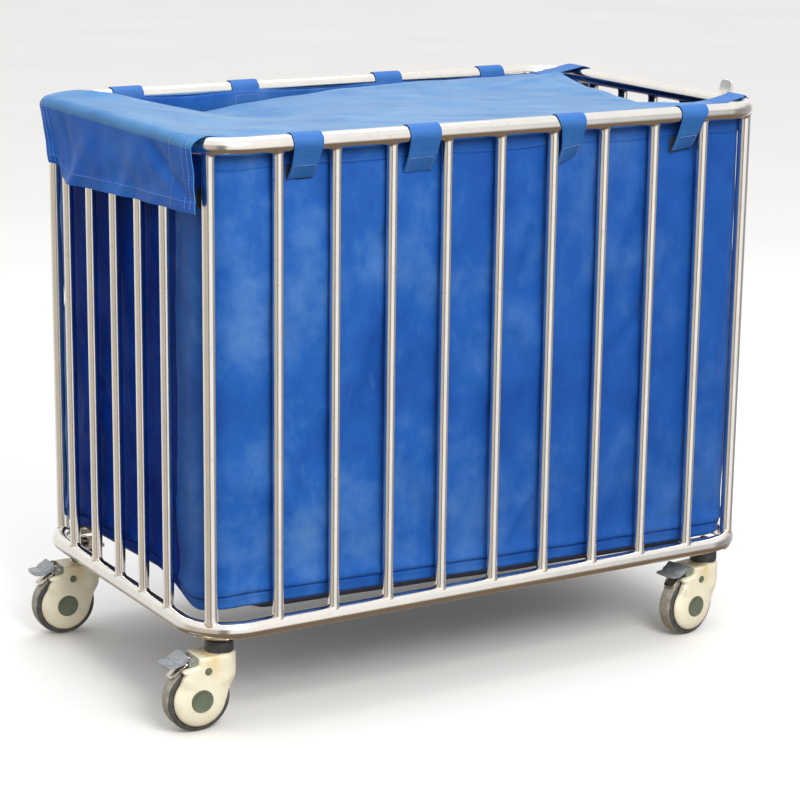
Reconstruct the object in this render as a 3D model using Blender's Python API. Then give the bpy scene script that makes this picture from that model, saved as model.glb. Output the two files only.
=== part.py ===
"""Linen trolley: a welded cage of round stainless tube on four braked swivel casters,
with a woven liner bag hung inside it on straps and a cloth cover over the top.

Metres, +Z up. X runs along the long side and Y across, with -Y the front.
The origin is on the floor, under the middle of the whole trolley.
"""
import math

import bmesh
import bpy
from mathutils import Matrix, Vector

# Cage: two rectangular rails of bent tube, joined by posts in the bends and bars between.
CAGE_SHIFT = 0.0140
RAIL_RADIUS = 0.0127
RAIL_SIDES = 12
BEND_RADIUS = 0.070
BEND_STEPS = 6
LOWER_RAIL_Z = 0.155
UPPER_RAIL_Z = 0.8425
POST_RADIUS = 0.0095
BAR_RADIUS = 0.008
BAR_SIDES = 10
SIDE_BARS = 9
SIDE_PITCH = 0.0906
SIDE_END_GAP = 0.0958
END_BARS = 5
END_PITCH = 0.0834
END_END_GAP = 0.0952
FIT_GAP = 0.0003

# The posts stand in the middle of the bends, so the rails run outside them by this much.
BEND_INSET = BEND_RADIUS * (1.0 - math.sqrt(0.5))
POST_X = (SIDE_BARS - 1) / 2 * SIDE_PITCH + SIDE_END_GAP
POST_Y = (END_BARS - 1) / 2 * END_PITCH + END_END_GAP
RAIL_X = POST_X + BEND_INSET
RAIL_Y = POST_Y + BEND_INSET
RAIL_FLAT = RAIL_RADIUS * math.cos(math.pi / RAIL_SIDES)

# Plates welded under the lower rail's bends carry the caster stems.
CASTER_INSET = 0.024
CASTER_X = POST_X - CASTER_INSET
CASTER_Y = POST_Y - CASTER_INSET
PLATE_HALF = 0.026
PLATE_THICKNESS = 0.004
PLATE_BITE = 0.0008
PLATE_TOP = LOWER_RAIL_Z - RAIL_FLAT + PLATE_BITE
PLATE_BOTTOM = PLATE_TOP - PLATE_THICKNESS
STEM_RADIUS = 0.006
STEM_HOLE_RADIUS = 0.0064
STEM_SIDES = 20
KINGPIN_LENGTH = 0.014
SOCKET_DEPTH = 0.0145
COLLAR_EDGE = 0.002
NECK_RADIUS = 0.009
NUT_RADIUS = 0.0095
NUT_HEIGHT = 0.0065
THREAD_SHOWING = 0.003

# Cutting tools run past the material by this much.
OVERCUT = 0.002
DEEP_OVERCUT = 0.010

# Small welded tab on the outside of the right end of the upper rail.
TAB_THICKNESS = 0.003
TAB_FRONT_Y = -0.187
TAB_FOOT_WIDTH = 0.036
TAB_TOP_WIDTH = 0.027
TAB_TOP_Z = 0.875
TAB_CORNER = 0.004
TAB_FOOT_DROP = 0.006
TAB_BITE = 0.0015

# Caster: measured from the wheel's centre, with the kingpin ahead of it by the trail.
WHEEL_RADIUS = 0.050
WHEEL_SEGMENTS = 24
AXLE_Z = WHEEL_RADIUS * math.cos(math.pi / WHEEL_SEGMENTS)
TRAIL = 0.037
HOUSING_HALF_WIDTH = 0.0235
HOUSING_TOP = 0.0642
HOUSING_COLUMN_FOOT = 0.040
HOUSING_HEEL = (0.006, 0.020)
HOUSING_BROW = ((-0.004, HOUSING_TOP), (-0.004, 0.0520), (-0.025, 0.0488), (-0.0275, 0.0465),
                (-0.0235, 0.0415), (-0.0275, 0.0345))
COVER_RADIUS = 0.040
SLOT_RADIUS = 0.0535
SLOT_HALF_WIDTH = 0.0135
SLOT_MOUTH = ((0.060, -0.080), (-0.080, -0.080), (-0.080, 0.070), (-0.0043, 0.070), (-0.0043, 0.0533))
AXLE_RADIUS = 0.004
HUB_CAP_RADIUS = 0.017
COLLAR_RADIUS = 0.0215
COLLAR_HEIGHT = 0.018
PIVOT_X = -0.012
PIVOT_Z = 0.0595
PIN_RADIUS = 0.0025
CHEEK_INNER = 0.0130
CHEEK_OUTER = 0.0175
CHEEK_OUTLINE = ((-0.002, 0.0475), (-0.002, 0.0630), (-0.009, 0.0655), (-0.0155, 0.0650),
                 (-0.0185, 0.0600), (-0.0175, 0.0475))
PIN_HALF_LENGTH = 0.0200
PIN_HOLE_HALF_LENGTH = 0.0240
EYE_HALF_LENGTH = 0.0140
EYE_RADIUS = 0.0048
WHEEL_BORE_RADIUS = 0.0043
WHEEL_HALF_PROFILE = ((WHEEL_BORE_RADIUS, 0.0110), (0.0100, 0.0110), (0.0120, 0.0070), (0.0350, 0.0070),
                      (0.0370, 0.0110), (0.0450, 0.0120), (0.0490, 0.0100), (WHEEL_RADIUS, 0.0070))
HUB_CAP_RIM = 0.0010
HUB_CAP_DOME = 0.0010
HUB_CAP_EDGE = 0.0015
PEDAL_STEPS = ((-0.0520, 0.0545), (-0.0520, 0.0572), (-0.0320, 0.0582), (-0.0300, 0.0618),
               (-0.0195, 0.0622), (-0.0160, 0.0692), (-0.0085, 0.0700), (-0.0060, 0.0640),
               (-0.0070, 0.0560), (-0.0160, 0.0555), (-0.0200, 0.0572), (-0.0300, 0.0560))
FORK_BACK = -0.0078
FORK_FRONT = 0.020
FORK_TOP = 0.0068
PEDAL_HALF_WIDTH = 0.021
SHOE_HALF_WIDTH = 0.0105
SHOE_RADIUS = 0.0522
SHOE_THICKNESS = 0.0028

# Rest direction of each caster, in degrees from straight along the trolley.
CASTERS = {
    "front_left": (-1, -1, -2.0),
    "front_right": (1, -1, 9.0),
    "rear_left": (-1, 1, -3.0),
    "rear_right": (1, 1, 5.0),
}

# Liner bag, hung inside the rails.
BAG_CLEARANCE = 0.003
BAG_THICKNESS = 0.002
BAG_BOTTOM = 0.174
BAG_TOP = 0.835
BAG_LOW_END_TOP = 0.800
BAG_LOW_END_HALF = 0.165
BAG_CORNER_STEPS = 5
BAG_X = RAIL_X - RAIL_RADIUS - BAG_CLEARANCE
BAG_Y = RAIL_Y - RAIL_RADIUS - BAG_CLEARANCE
BAG_CORNER = BEND_RADIUS - RAIL_RADIUS - BAG_CLEARANCE
STRAP_WIDTH = 0.046
STRAP_THICKNESS = 0.002
STRAP_RADIUS = 0.0144
STRAP_END_RADIUS = 0.0165
STRAP_START_INSET = 0.0012
STRAP_START_Z = -0.022
STRAP_STRAIGHT_Z = -0.008
STRAP_DROP = 0.047
STRAP_SIDE_X = (-0.335, -0.145, 0.115, 0.333)
STRAP_END_Y = 0.2075
STRAP_END_WIDTH = 0.040
SKIRT_DROP = 0.092
SKIRT_HALF_HOOK = 0.200
SKIRT_FRONT_Y = -0.266
SKIRT_BACK_Y = 0.228
SKIRT_OUTSIDE = 0.0013
SKIRT_INSIDE = 0.0007
SKIRT_TOP_OVERLAP = 0.001
BAG_RIM_TOOL_DEPTH = 0.020

# Cover: the part of the sheet that lifts, from the left rail to the right end.
COVER_LEFT_X = -0.458
COVER_RIGHT_X = 0.440
COVER_FRONT_Y = -0.261
COVER_BACK_Y = 0.236
COVER_THICKNESS = 0.003
COVER_CLEARANCE = 0.002
COVER_STEPS_X = 10
COVER_STEPS_Y = 6
COVER_TOP_Z = 0.851
COVER_FALL_ALONG = 0.006
COVER_DIP = 0.010
COVER_HOLLOW = 0.022
COVER_HOLLOW_X = -0.20
COVER_HOLLOW_REACH = 0.17
COVER_DIP_POWER = 1.5

# Colour, roughness and metallic of each material.
FINISHES = {
    "rail_steel": ((0.80, 0.79, 0.76), 0.22, 1.0),
    "stem_grey": ((0.09, 0.09, 0.10), 0.45, 0.3),
    "housing_cream": ((0.80, 0.75, 0.58), 0.40, 0.0),
    "tyre_grey": ((0.12, 0.12, 0.12), 0.65, 0.0),
    "cap_grey": ((0.16, 0.19, 0.18), 0.50, 0.0),
    "pedal_grey": ((0.33, 0.36, 0.42), 0.45, 0.0),
    "tongue_steel": ((0.62, 0.60, 0.56), 0.30, 1.0),
    "bag_blue": ((0.02, 0.10, 0.46), 0.60, 0.0),
    "cover_blue": ((0.04, 0.17, 0.60), 0.55, 0.0),
}


def clear_scene():
    for old in list(bpy.data.objects):
        bpy.data.objects.remove(old, do_unlink=True)


def material(name, finish=None):
    """Material of the given name, with the colour and surface of one of the finishes."""
    colour, roughness, metallic = FINISHES[finish or name]
    made = bpy.data.materials.new(name)
    made.use_nodes = True
    shader = made.node_tree.nodes["Principled BSDF"]
    shader.inputs["Base Color"].default_value = (*colour, 1.0)
    shader.inputs["Roughness"].default_value = roughness
    shader.inputs["Metallic"].default_value = metallic
    made.diffuse_color = (*colour, 1.0)
    return made


def empty(name, location, parent=None, turn=0.0):
    made = bpy.data.objects.new(name, None)
    made.location = location
    made.rotation_euler = (0.0, 0.0, turn)
    made.parent = parent
    bpy.context.scene.collection.objects.link(made)
    return made


def add_object(name, bm, finish, parent, location=(0.0, 0.0, 0.0), turn=0.0):
    """Make an object of a bmesh, its faces turned outward, and free the bmesh."""
    bmesh.ops.recalc_face_normals(bm, faces=bm.faces)
    mesh = bpy.data.meshes.new(name)
    bm.to_mesh(mesh)
    bm.free()
    mesh.shade_smooth()
    mesh.set_sharp_from_angle(angle=math.radians(35.0))
    if finish:
        mesh.materials.append(finish)
    made = bpy.data.objects.new(name, mesh)
    made.location = location
    made.rotation_euler = (0.0, 0.0, turn)
    made.parent = parent
    bpy.context.scene.collection.objects.link(made)
    return made


def add_cutter(name, bm, parent, location=(0.0, 0.0, 0.0)):
    made = add_object(name, bm, None, parent, location)
    made.hide_render = True
    made.display_type = "WIRE"
    return made


def add_boolean(target, tool, operation):
    step = target.modifiers.new(tool.name, "BOOLEAN")
    step.object = tool
    step.operation = operation
    step.solver = "EXACT"


def prism(outline, low, high, lift):
    """Solid between two copies of an outline, each point placed by lift(point, height)."""
    bm = bmesh.new()
    loops = [[bm.verts.new(lift(point, height)) for point in outline] for height in (low, high)]
    bm.faces.new(reversed(loops[0]))
    bm.faces.new(loops[1])
    count = len(outline)
    for i in range(count):
        j = (i + 1) % count
        bm.faces.new((loops[0][i], loops[0][j], loops[1][j], loops[1][i]))
    return bm


def side_prism(outline, half_width):
    """Prism of an (x, z) outline, its width along Y."""
    return prism(outline, -half_width, half_width, lambda p, h: (p[0], h, p[1]))


def plan_prism(outline, low, high):
    """Prism of an (x, y) outline, standing along Z."""
    return prism(outline, low, high, lambda p, h: (p[0], p[1], h))


def box(low, high):
    return plan_prism([(low[0], low[1]), (high[0], low[1]), (high[0], high[1]), (low[0], high[1])],
                      low[2], high[2])


def joined(parts):
    """One bmesh holding several, which are freed."""
    whole = bmesh.new()
    for part in parts:
        mesh = bpy.data.meshes.new("part")
        part.to_mesh(mesh)
        part.free()
        whole.from_mesh(mesh)
        bpy.data.meshes.remove(mesh)
    return whole


def turned(profile, segments, phase=0.0):
    """Solid turned about Z from (radius, z) points; an axis point closes the end."""
    bm = bmesh.new()
    rings = []
    for radius, z in profile:
        if radius == 0.0:
            rings.append([bm.verts.new((0.0, 0.0, z))])
            continue
        angles = [2.0 * math.pi * (k + phase) / segments for k in range(segments)]
        rings.append([bm.verts.new((radius * math.cos(a), radius * math.sin(a), z)) for a in angles])
    closed = len(rings[0]) > 1
    for i in range(len(rings) if closed else len(rings) - 1):
        near, far = rings[i], rings[(i + 1) % len(rings)]
        for k in range(segments):
            m = (k + 1) % segments
            corners = [near[k % len(near)], near[m % len(near)], far[m % len(far)], far[k % len(far)]]
            bm.faces.new(list(dict.fromkeys(corners)))
    return bm


def laid_along_y(bm):
    bmesh.ops.rotate(bm, verts=bm.verts, matrix=Matrix.Rotation(math.radians(90.0), 3, "X"))
    return bm


def rounded_rectangle(half_x, half_y, radius, steps):
    """(x, y, direction) along a rounded rectangle, counter-clockwise."""
    points = []
    for quarter, (sx, sy) in enumerate(((1, 1), (-1, 1), (-1, -1), (1, -1))):
        for k in range(steps + 1):
            a = math.radians(90.0 * (quarter + k / steps))
            x = sx * (half_x - radius) + radius * math.cos(a)
            y = sy * (half_y - radius) + radius * math.sin(a)
            points.append((x, y, a))
    return points


def arc(radius, start, stop, steps, centre=(0.0, 0.0)):
    """Points of an arc, its angles in degrees."""
    angles = [math.radians(start + (stop - start) * k / steps) for k in range(steps + 1)]
    return [(centre[0] + radius * math.cos(a), centre[1] + radius * math.sin(a)) for a in angles]


def rail_mesh():
    """Closed loop of round tube in the XY plane, with flats on its top and bottom."""
    bm = bmesh.new()
    loops = []
    for x, y, a in rounded_rectangle(RAIL_X, RAIL_Y, BEND_RADIUS, BEND_STEPS):
        loop = []
        for k in range(RAIL_SIDES):
            t = 2.0 * math.pi * (k + 0.5) / RAIL_SIDES
            out = RAIL_RADIUS * math.cos(t)
            loop.append(bm.verts.new((x + out * math.cos(a), y + out * math.sin(a),
                                      RAIL_RADIUS * math.sin(t))))
        loops.append(loop)
    for i, near in enumerate(loops):
        far = loops[(i + 1) % len(loops)]
        for k in range(RAIL_SIDES):
            m = (k + 1) % RAIL_SIDES
            bm.faces.new((near[k], far[k], far[m], near[m]))
    return bm


def bar_positions():
    """Name and place of each upright bar."""
    places = []
    for side, y in (("front", -RAIL_Y), ("back", RAIL_Y)):
        for i in range(SIDE_BARS):
            places.append((f"{side}_bar_{i + 1}", (i - (SIDE_BARS - 1) / 2) * SIDE_PITCH, y))
    for side, x in (("left", -RAIL_X), ("right", RAIL_X)):
        for i in range(END_BARS):
            places.append((f"{side}_bar_{i + 1}", x, (i - (END_BARS - 1) / 2) * END_PITCH))
    return places


def build_cage(root):
    upper = add_object("top_rail", rail_mesh(), material("top_rail_steel", "rail_steel"), root,
                       (0.0, 0.0, UPPER_RAIL_Z))
    lower = add_object("bottom_rail", rail_mesh(), material("bottom_rail_steel", "rail_steel"), root,
                       (0.0, 0.0, LOWER_RAIL_Z))
    add_tab(upper, root)
    add_caster_plates(lower, root)
    low = LOWER_RAIL_Z + RAIL_FLAT + FIT_GAP
    high = UPPER_RAIL_Z - RAIL_FLAT - FIT_GAP
    height = high - low
    bar_finish = material("bar_steel", "rail_steel")
    post_finish = material("post_steel", "rail_steel")
    for name, x, y in bar_positions():
        tube = turned([(0.0, 0.0), (BAR_RADIUS, 0.0), (BAR_RADIUS, height), (0.0, height)], BAR_SIDES)
        add_object(name, tube, bar_finish, root, (x, y, low))
    for side_y, sy in (("front", -1), ("back", 1)):
        for side_x, sx in (("left", -1), ("right", 1)):
            tube = turned([(0.0, 0.0), (POST_RADIUS, 0.0), (POST_RADIUS, height), (0.0, height)],
                          RAIL_SIDES)
            add_object(f"{side_y}_{side_x}_post", tube, post_finish, root,
                       (sx * POST_X, sy * POST_Y, low))


def add_tab(rail, root):
    """Upright plate, one edge slanted, welded to the outer side of the right end."""
    back = TAB_FRONT_Y + TAB_FOOT_WIDTH
    top_back = TAB_FRONT_Y + TAB_TOP_WIDTH
    corner = TAB_CORNER
    low = UPPER_RAIL_Z - TAB_FOOT_DROP
    outline = [(TAB_FRONT_Y, low), (back, low), (back, UPPER_RAIL_Z), (top_back, TAB_TOP_Z - corner),
               (top_back - corner, TAB_TOP_Z), (TAB_FRONT_Y + corner, TAB_TOP_Z),
               (TAB_FRONT_Y, TAB_TOP_Z - corner)]
    inner_x = RAIL_X + RAIL_RADIUS - TAB_BITE
    plate = prism(outline, inner_x, inner_x + TAB_THICKNESS, lambda p, h: (h, p[0], p[1]))
    add_boolean(rail, add_cutter("tab_tool", plate, root), "UNION")


def add_caster_plates(rail, root):
    """Weld a drilled plate under each bend of the lower rail."""
    plates = []
    holes = []
    for sx, sy, _ in CASTERS.values():
        x, y = sx * CASTER_X, sy * CASTER_Y
        plates.append(box((x - PLATE_HALF, y - PLATE_HALF, PLATE_BOTTOM),
                          (x + PLATE_HALF, y + PLATE_HALF, PLATE_TOP)))
        low, high = PLATE_BOTTOM - OVERCUT, PLATE_TOP + OVERCUT
        hole = turned([(0.0, low), (STEM_HOLE_RADIUS, low), (STEM_HOLE_RADIUS, high), (0.0, high)], 12)
        bmesh.ops.translate(hole, verts=hole.verts, vec=(x, y, 0.0))
        holes.append(hole)
    add_boolean(rail, add_cutter("plate_tool", joined(plates), root), "UNION")
    add_boolean(rail, add_cutter("plate_hole_tool", joined(holes), root), "DIFFERENCE")


def stem_mesh():
    """Kingpin, swivel collar, neck, threaded stem and its nut, turned about the kingpin."""
    collar_low = AXLE_Z + HOUSING_TOP + FIT_GAP
    collar_high = collar_low + COLLAR_HEIGHT
    plate_low = PLATE_BOTTOM - FIT_GAP
    nut_low = PLATE_TOP + FIT_GAP
    nut_high = nut_low + NUT_HEIGHT
    foot = collar_low - KINGPIN_LENGTH
    tip = nut_high + THREAD_SHOWING
    profile = [(0.0, foot), (STEM_RADIUS, foot), (STEM_RADIUS, collar_low),
               (COLLAR_RADIUS, collar_low), (COLLAR_RADIUS, collar_high - COLLAR_EDGE),
               (COLLAR_RADIUS - COLLAR_EDGE, collar_high), (NECK_RADIUS, collar_high),
               (NECK_RADIUS, plate_low), (STEM_RADIUS, plate_low), (STEM_RADIUS, nut_low),
               (NUT_RADIUS, nut_low), (NUT_RADIUS, nut_high), (STEM_RADIUS, nut_high),
               (STEM_RADIUS, tip), (0.0, tip)]
    return turned(profile, STEM_SIDES)


def housing_outline():
    """Side view of the twin covers, from the wheel's centre, the kingpin at +TRAIL."""
    column = TRAIL + HOUSING_HALF_WIDTH
    points = [(column, HOUSING_COLUMN_FOOT), (column, HOUSING_TOP), *HOUSING_BROW]
    points += arc(COVER_RADIUS, 150.0, 354.0, 16)
    points.append((column - HOUSING_HEEL[0], HOUSING_HEEL[1]))
    return points


def housing_mesh():
    """Covers on both faces, joined over the wheel, with bracket cheeks for the brake."""
    shift = -TRAIL
    outline = [(x + shift, z) for x, z in housing_outline()]
    return side_prism(outline, HOUSING_HALF_WIDTH)


def housing_tools(name, swivel):
    """Cutters that round the kingpin end and open the wheel slot and the bores."""
    wheel_x = -TRAIL
    wide = HOUSING_HALF_WIDTH + 0.0001
    far = 2 * wheel_x - OVERCUT - HOUSING_HALF_WIDTH
    plan = [(far, wide), (far, -wide)] + arc(wide, -90.0, 90.0, 12)
    round_end = add_cutter(name + "_plan_tool", plan_prism(plan, -2 * COVER_RADIUS, 2 * WHEEL_RADIUS), swivel)
    slot = [*SLOT_MOUTH, *arc(SLOT_RADIUS, 62.0, -28.0, 12)]
    slot = [(x + wheel_x, z) for x, z in slot]
    slot_tool = add_cutter(name + "_slot_tool", side_prism(slot, SLOT_HALF_WIDTH), swivel)
    reach, bore_radius = HOUSING_HALF_WIDTH + DEEP_OVERCUT, AXLE_RADIUS + FIT_GAP
    bore = turned([(0.0, -reach), (bore_radius, -reach), (bore_radius, reach), (0.0, reach)], STEM_SIDES)
    bore_tool = add_cutter(name + "_bore_tool", laid_along_y(bore), swivel, (wheel_x, 0.0, 0.0))
    low, high = HOUSING_TOP - SOCKET_DEPTH, HOUSING_TOP + DEEP_OVERCUT
    socket = turned([(0.0, low), (STEM_HOLE_RADIUS, low), (STEM_HOLE_RADIUS, high), (0.0, high)], STEM_SIDES)
    socket_tool = add_cutter(name + "_socket_tool", socket, swivel)
    return round_end, slot_tool, bore_tool, socket_tool


def cheek_meshes():
    """Pair of bracket cheeks that hold the brake pin, standing off the housing's wall."""
    outline = [(x - TRAIL, z) for x, z in CHEEK_OUTLINE]
    middle = (CHEEK_INNER + CHEEK_OUTER) / 2
    half = (CHEEK_OUTER - CHEEK_INNER) / 2
    cheeks = []
    for side in (-1, 1):
        cheek = side_prism(outline, half)
        bmesh.ops.translate(cheek, verts=cheek.verts, vec=(0.0, side * middle, 0.0))
        cheeks.append(cheek)
    return joined(cheeks)


def pin_mesh(radius, half_length):
    pin = turned([(0.0, -half_length), (radius, -half_length), (radius, half_length),
                  (0.0, half_length)], 12)
    return laid_along_y(pin)


def wheel_mesh():
    """Soft tyre on a narrower core, bored for the axle, with a flat of the tread downward."""
    profile = [*WHEEL_HALF_PROFILE, *((r, -z) for r, z in reversed(WHEEL_HALF_PROFILE))]
    return laid_along_y(turned(profile, WHEEL_SEGMENTS, 0.5))


def axle_mesh():
    """Axle with a broad cap over each end, seated on the covers' outer faces."""
    face = HOUSING_HALF_WIDTH + FIT_GAP
    rim = face + HUB_CAP_RIM
    crown = rim + HUB_CAP_DOME
    half = [(0.0, crown), (HUB_CAP_RADIUS - HUB_CAP_EDGE, crown), (HUB_CAP_RADIUS, rim),
            (HUB_CAP_RADIUS, face), (AXLE_RADIUS, face)]
    profile = half + [(r, -z) for r, z in reversed(half)]
    return laid_along_y(turned(profile, STEM_SIDES))


def pedal_outline():
    """Side view of the stepped pedal, from the brake pin."""
    return [(x - PIVOT_X, z - PIVOT_Z) for x, z in PEDAL_STEPS]


def shoe_outline():
    """Side view of the brake tongue, from the brake pin: an eye and a curved arm."""
    inner = arc(SHOE_RADIUS, 140.0, 106.0, 6)
    outer = arc(SHOE_RADIUS + SHOE_THICKNESS, 118.0, 140.0, 4)
    eye = arc(EYE_RADIUS, -30.0, 200.0, 9, (PIVOT_X, PIVOT_Z))
    outline = inner + eye + outer
    return [(x - PIVOT_X, z - PIVOT_Z) for x, z in outline]


def build_caster(name, sx, sy, degrees, root, finishes):
    """One caster: fixed stem, swivelling housing, wheel on its axle, pedal and brake tongue."""
    stem = add_object(f"{name}_caster_stem", stem_mesh(), finishes["stem"], root,
                      (sx * CASTER_X, sy * CASTER_Y, 0.0))
    swivel = empty(f"{name}_swivel_axis", (stem.location.x, stem.location.y, AXLE_Z), root,
                   math.radians(degrees))
    housing = add_object(f"{name}_caster_housing", housing_mesh(), finishes["housing"], swivel)
    round_end, slot_tool, bore_tool, socket_tool = housing_tools(name, swivel)
    add_boolean(housing, round_end, "INTERSECT")
    add_boolean(housing, slot_tool, "DIFFERENCE")
    add_boolean(housing, add_cutter(name + "_cheek_tool", cheek_meshes(), swivel), "UNION")
    add_boolean(housing, bore_tool, "DIFFERENCE")
    add_boolean(housing, socket_tool, "DIFFERENCE")
    pivot = (-TRAIL + PIVOT_X, 0.0, PIVOT_Z)
    pin_hole = add_cutter(name + "_pin_hole_tool", pin_mesh(PIN_RADIUS + FIT_GAP, PIN_HOLE_HALF_LENGTH),
                          swivel, pivot)
    add_boolean(housing, pin_hole, "DIFFERENCE")
    centre = (-TRAIL, 0.0, 0.0)
    add_object(f"{name}_caster_wheel", wheel_mesh(), finishes["wheel"], swivel, centre)
    add_object(f"{name}_caster_axle", axle_mesh(), finishes["axle"], swivel, centre)
    build_brake(name, pivot, swivel, finishes)


def build_brake(name, pivot, swivel, finishes):
    """Pedal with its pin, and the tongue that the pedal presses on the tyre."""
    pedal = add_object(f"{name}_brake_pedal", side_prism(pedal_outline(), PEDAL_HALF_WIDTH),
                       finishes["pedal"], swivel, pivot)
    fork = CHEEK_OUTER + FIT_GAP
    gap = box((FORK_BACK, -fork, -FORK_FRONT), (FORK_FRONT, fork, FORK_TOP))
    add_boolean(pedal, add_cutter(name + "_fork_tool", gap, swivel, pivot), "DIFFERENCE")
    pin = add_cutter(name + "_pin_tool", pin_mesh(PIN_RADIUS, PIN_HALF_LENGTH), swivel, pivot)
    add_boolean(pedal, pin, "UNION")
    shoe = add_object(f"{name}_brake_shoe", side_prism(shoe_outline(), SHOE_HALF_WIDTH),
                      finishes["shoe"], swivel, pivot)
    eye = add_cutter(name + "_eye_tool", pin_mesh(PIN_RADIUS + FIT_GAP, EYE_HALF_LENGTH), swivel, pivot)
    add_boolean(shoe, eye, "DIFFERENCE")


def build_casters(root):
    finishes = {
        "stem": material("stem_grey"),
        "housing": material("housing_cream"),
        "wheel": material("tyre_grey"),
        "axle": material("cap_grey"),
        "pedal": material("pedal_grey"),
        "shoe": material("tongue_steel"),
    }
    for name, (sx, sy, degrees) in CASTERS.items():
        build_caster(name, sx, sy, degrees, root, finishes)


def hook_outline(drop, radius):
    """Strip that rises inside a rail, passes over it and hangs outside: (outward, z)."""
    half = STRAP_THICKNESS / 2
    start = -radius - STRAP_START_INSET
    centre = [(start, STRAP_START_Z), (start, STRAP_STRAIGHT_Z)] + arc(radius, 180.0, 0.0, 6)
    centre.append((radius, -drop))
    left, right = [], []
    for i, point in enumerate(centre):
        before = Vector(centre[max(i - 1, 0)])
        after = Vector(centre[min(i + 1, len(centre) - 1)])
        along = (after - before).normalized()
        across = Vector((-along.y, along.x)) * half
        left.append((point[0] + across.x, point[1] + across.y))
        right.append((point[0] - across.x, point[1] - across.y))
    return left + right[::-1]


def hook_mesh(drop, width, along, side, radius=STRAP_RADIUS):
    """A hooked strip over one side of the upper rail, centred at a distance along it."""
    hook = prism(hook_outline(drop, radius), along - width / 2, along + width / 2,
                 lambda p, h: (h, -p[0], p[1]))
    angle = {"front": 0.0, "right": 90.0, "back": 180.0, "left": 270.0}[side]
    reach = RAIL_Y if side in ("front", "back") else RAIL_X
    bmesh.ops.translate(hook, verts=hook.verts, vec=(0.0, -reach, UPPER_RAIL_Z))
    bmesh.ops.rotate(hook, verts=hook.verts, matrix=Matrix.Rotation(math.radians(angle), 3, "Z"))
    return hook


def build_bag(root):
    """Liner bag with its straps, and the skirt of the cover sewn along the left end."""
    fabric = material("bag_blue")
    outer = [(x, y) for x, y, _ in rounded_rectangle(BAG_X, BAG_Y, BAG_CORNER, BAG_CORNER_STEPS)]
    wall = BAG_THICKNESS
    inner = [(x, y) for x, y, _ in rounded_rectangle(BAG_X - wall, BAG_Y - wall, BAG_CORNER - wall,
                                                     BAG_CORNER_STEPS)]
    bag = add_object("bag", plan_prism(outer, BAG_BOTTOM, BAG_TOP), fabric, root)
    hollow = add_cutter("bag_hollow_tool", plan_prism(inner, BAG_BOTTOM + wall, BAG_TOP + DEEP_OVERCUT), root)
    add_boolean(bag, hollow, "DIFFERENCE")
    low_end = box((BAG_X - BAG_RIM_TOOL_DEPTH, -BAG_LOW_END_HALF, BAG_LOW_END_TOP),
                  (BAG_X + DEEP_OVERCUT, BAG_LOW_END_HALF, BAG_TOP + DEEP_OVERCUT))
    add_boolean(bag, add_cutter("bag_low_end_tool", low_end, root), "DIFFERENCE")
    hooks = [hook_mesh(STRAP_DROP, STRAP_WIDTH, x, "front") for x in STRAP_SIDE_X]
    hooks += [hook_mesh(STRAP_DROP, STRAP_WIDTH, -x, "back") for x in STRAP_SIDE_X]
    for y in (-STRAP_END_Y, STRAP_END_Y):
        hooks.append(hook_mesh(STRAP_DROP, STRAP_END_WIDTH, y, "right", STRAP_END_RADIUS))
    hooks.append(hook_mesh(SKIRT_DROP, 2 * SKIRT_HALF_HOOK, 0.0, "left"))
    add_boolean(bag, add_cutter("strap_tool", joined(hooks), root), "UNION")
    flap_x = -RAIL_X - STRAP_RADIUS
    flap = box((flap_x - SKIRT_OUTSIDE, SKIRT_FRONT_Y, UPPER_RAIL_Z - SKIRT_DROP - OVERCUT),
               (flap_x + SKIRT_INSIDE, SKIRT_BACK_Y, UPPER_RAIL_Z + SKIRT_TOP_OVERLAP))
    add_boolean(bag, add_cutter("skirt_tool", flap, root), "UNION")


def cover_front(x):
    """Front edge of the cover, drawn in where the rail bends at the corners."""
    radius = BEND_RADIUS - RAIL_RADIUS - COVER_CLEARANCE
    past = max(abs(x) - (RAIL_X - BEND_RADIUS), 0.0)
    bend_y = RAIL_Y - BEND_RADIUS + math.sqrt(radius ** 2 - past ** 2)
    return max(COVER_FRONT_Y, -bend_y)


def cover_height(x, y):
    """Top of the cover: level along the front, sagging toward its back edge."""
    across = (y - COVER_FRONT_Y) / (COVER_BACK_Y - COVER_FRONT_Y)
    along = (x - COVER_LEFT_X) / (COVER_RIGHT_X - COVER_LEFT_X)
    dip = COVER_DIP + COVER_HOLLOW * math.exp(-((x - COVER_HOLLOW_X) / COVER_HOLLOW_REACH) ** 2)
    return COVER_TOP_Z - COVER_FALL_ALONG * along - dip * across ** COVER_DIP_POWER


def build_cover(root):
    """Lifting part of the cover, hinged on the line of the left end of the upper rail."""
    hinge = (-RAIL_X, 0.0, UPPER_RAIL_Z)
    axis = empty("cover_axis", hinge, root)
    bm = bmesh.new()
    layers = []
    for lower in (COVER_THICKNESS, 0.0):
        rows = []
        for i in range(COVER_STEPS_X + 1):
            x = COVER_LEFT_X + (COVER_RIGHT_X - COVER_LEFT_X) * i / COVER_STEPS_X
            row = []
            for j in range(COVER_STEPS_Y + 1):
                front = cover_front(x)
                y = front + (COVER_BACK_Y - front) * j / COVER_STEPS_Y
                z = cover_height(x, y) - lower
                row.append(bm.verts.new((x - hinge[0], y, z - hinge[2])))
            rows.append(row)
        layers.append(rows)
    for rows in layers:
        for i in range(COVER_STEPS_X):
            for j in range(COVER_STEPS_Y):
                bm.faces.new((rows[i][j], rows[i + 1][j], rows[i + 1][j + 1], rows[i][j + 1]))
    edges = [edge for edge in bm.edges if edge.is_boundary]
    bmesh.ops.bridge_loops(bm, edges=edges)
    add_object("cover", bm, material("cover_blue"), axis)


def main():
    clear_scene()
    root = empty("trolley", (CAGE_SHIFT, 0.0, 0.0))
    build_cage(root)
    build_casters(root)
    build_bag(root)
    build_cover(root)


main()
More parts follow.
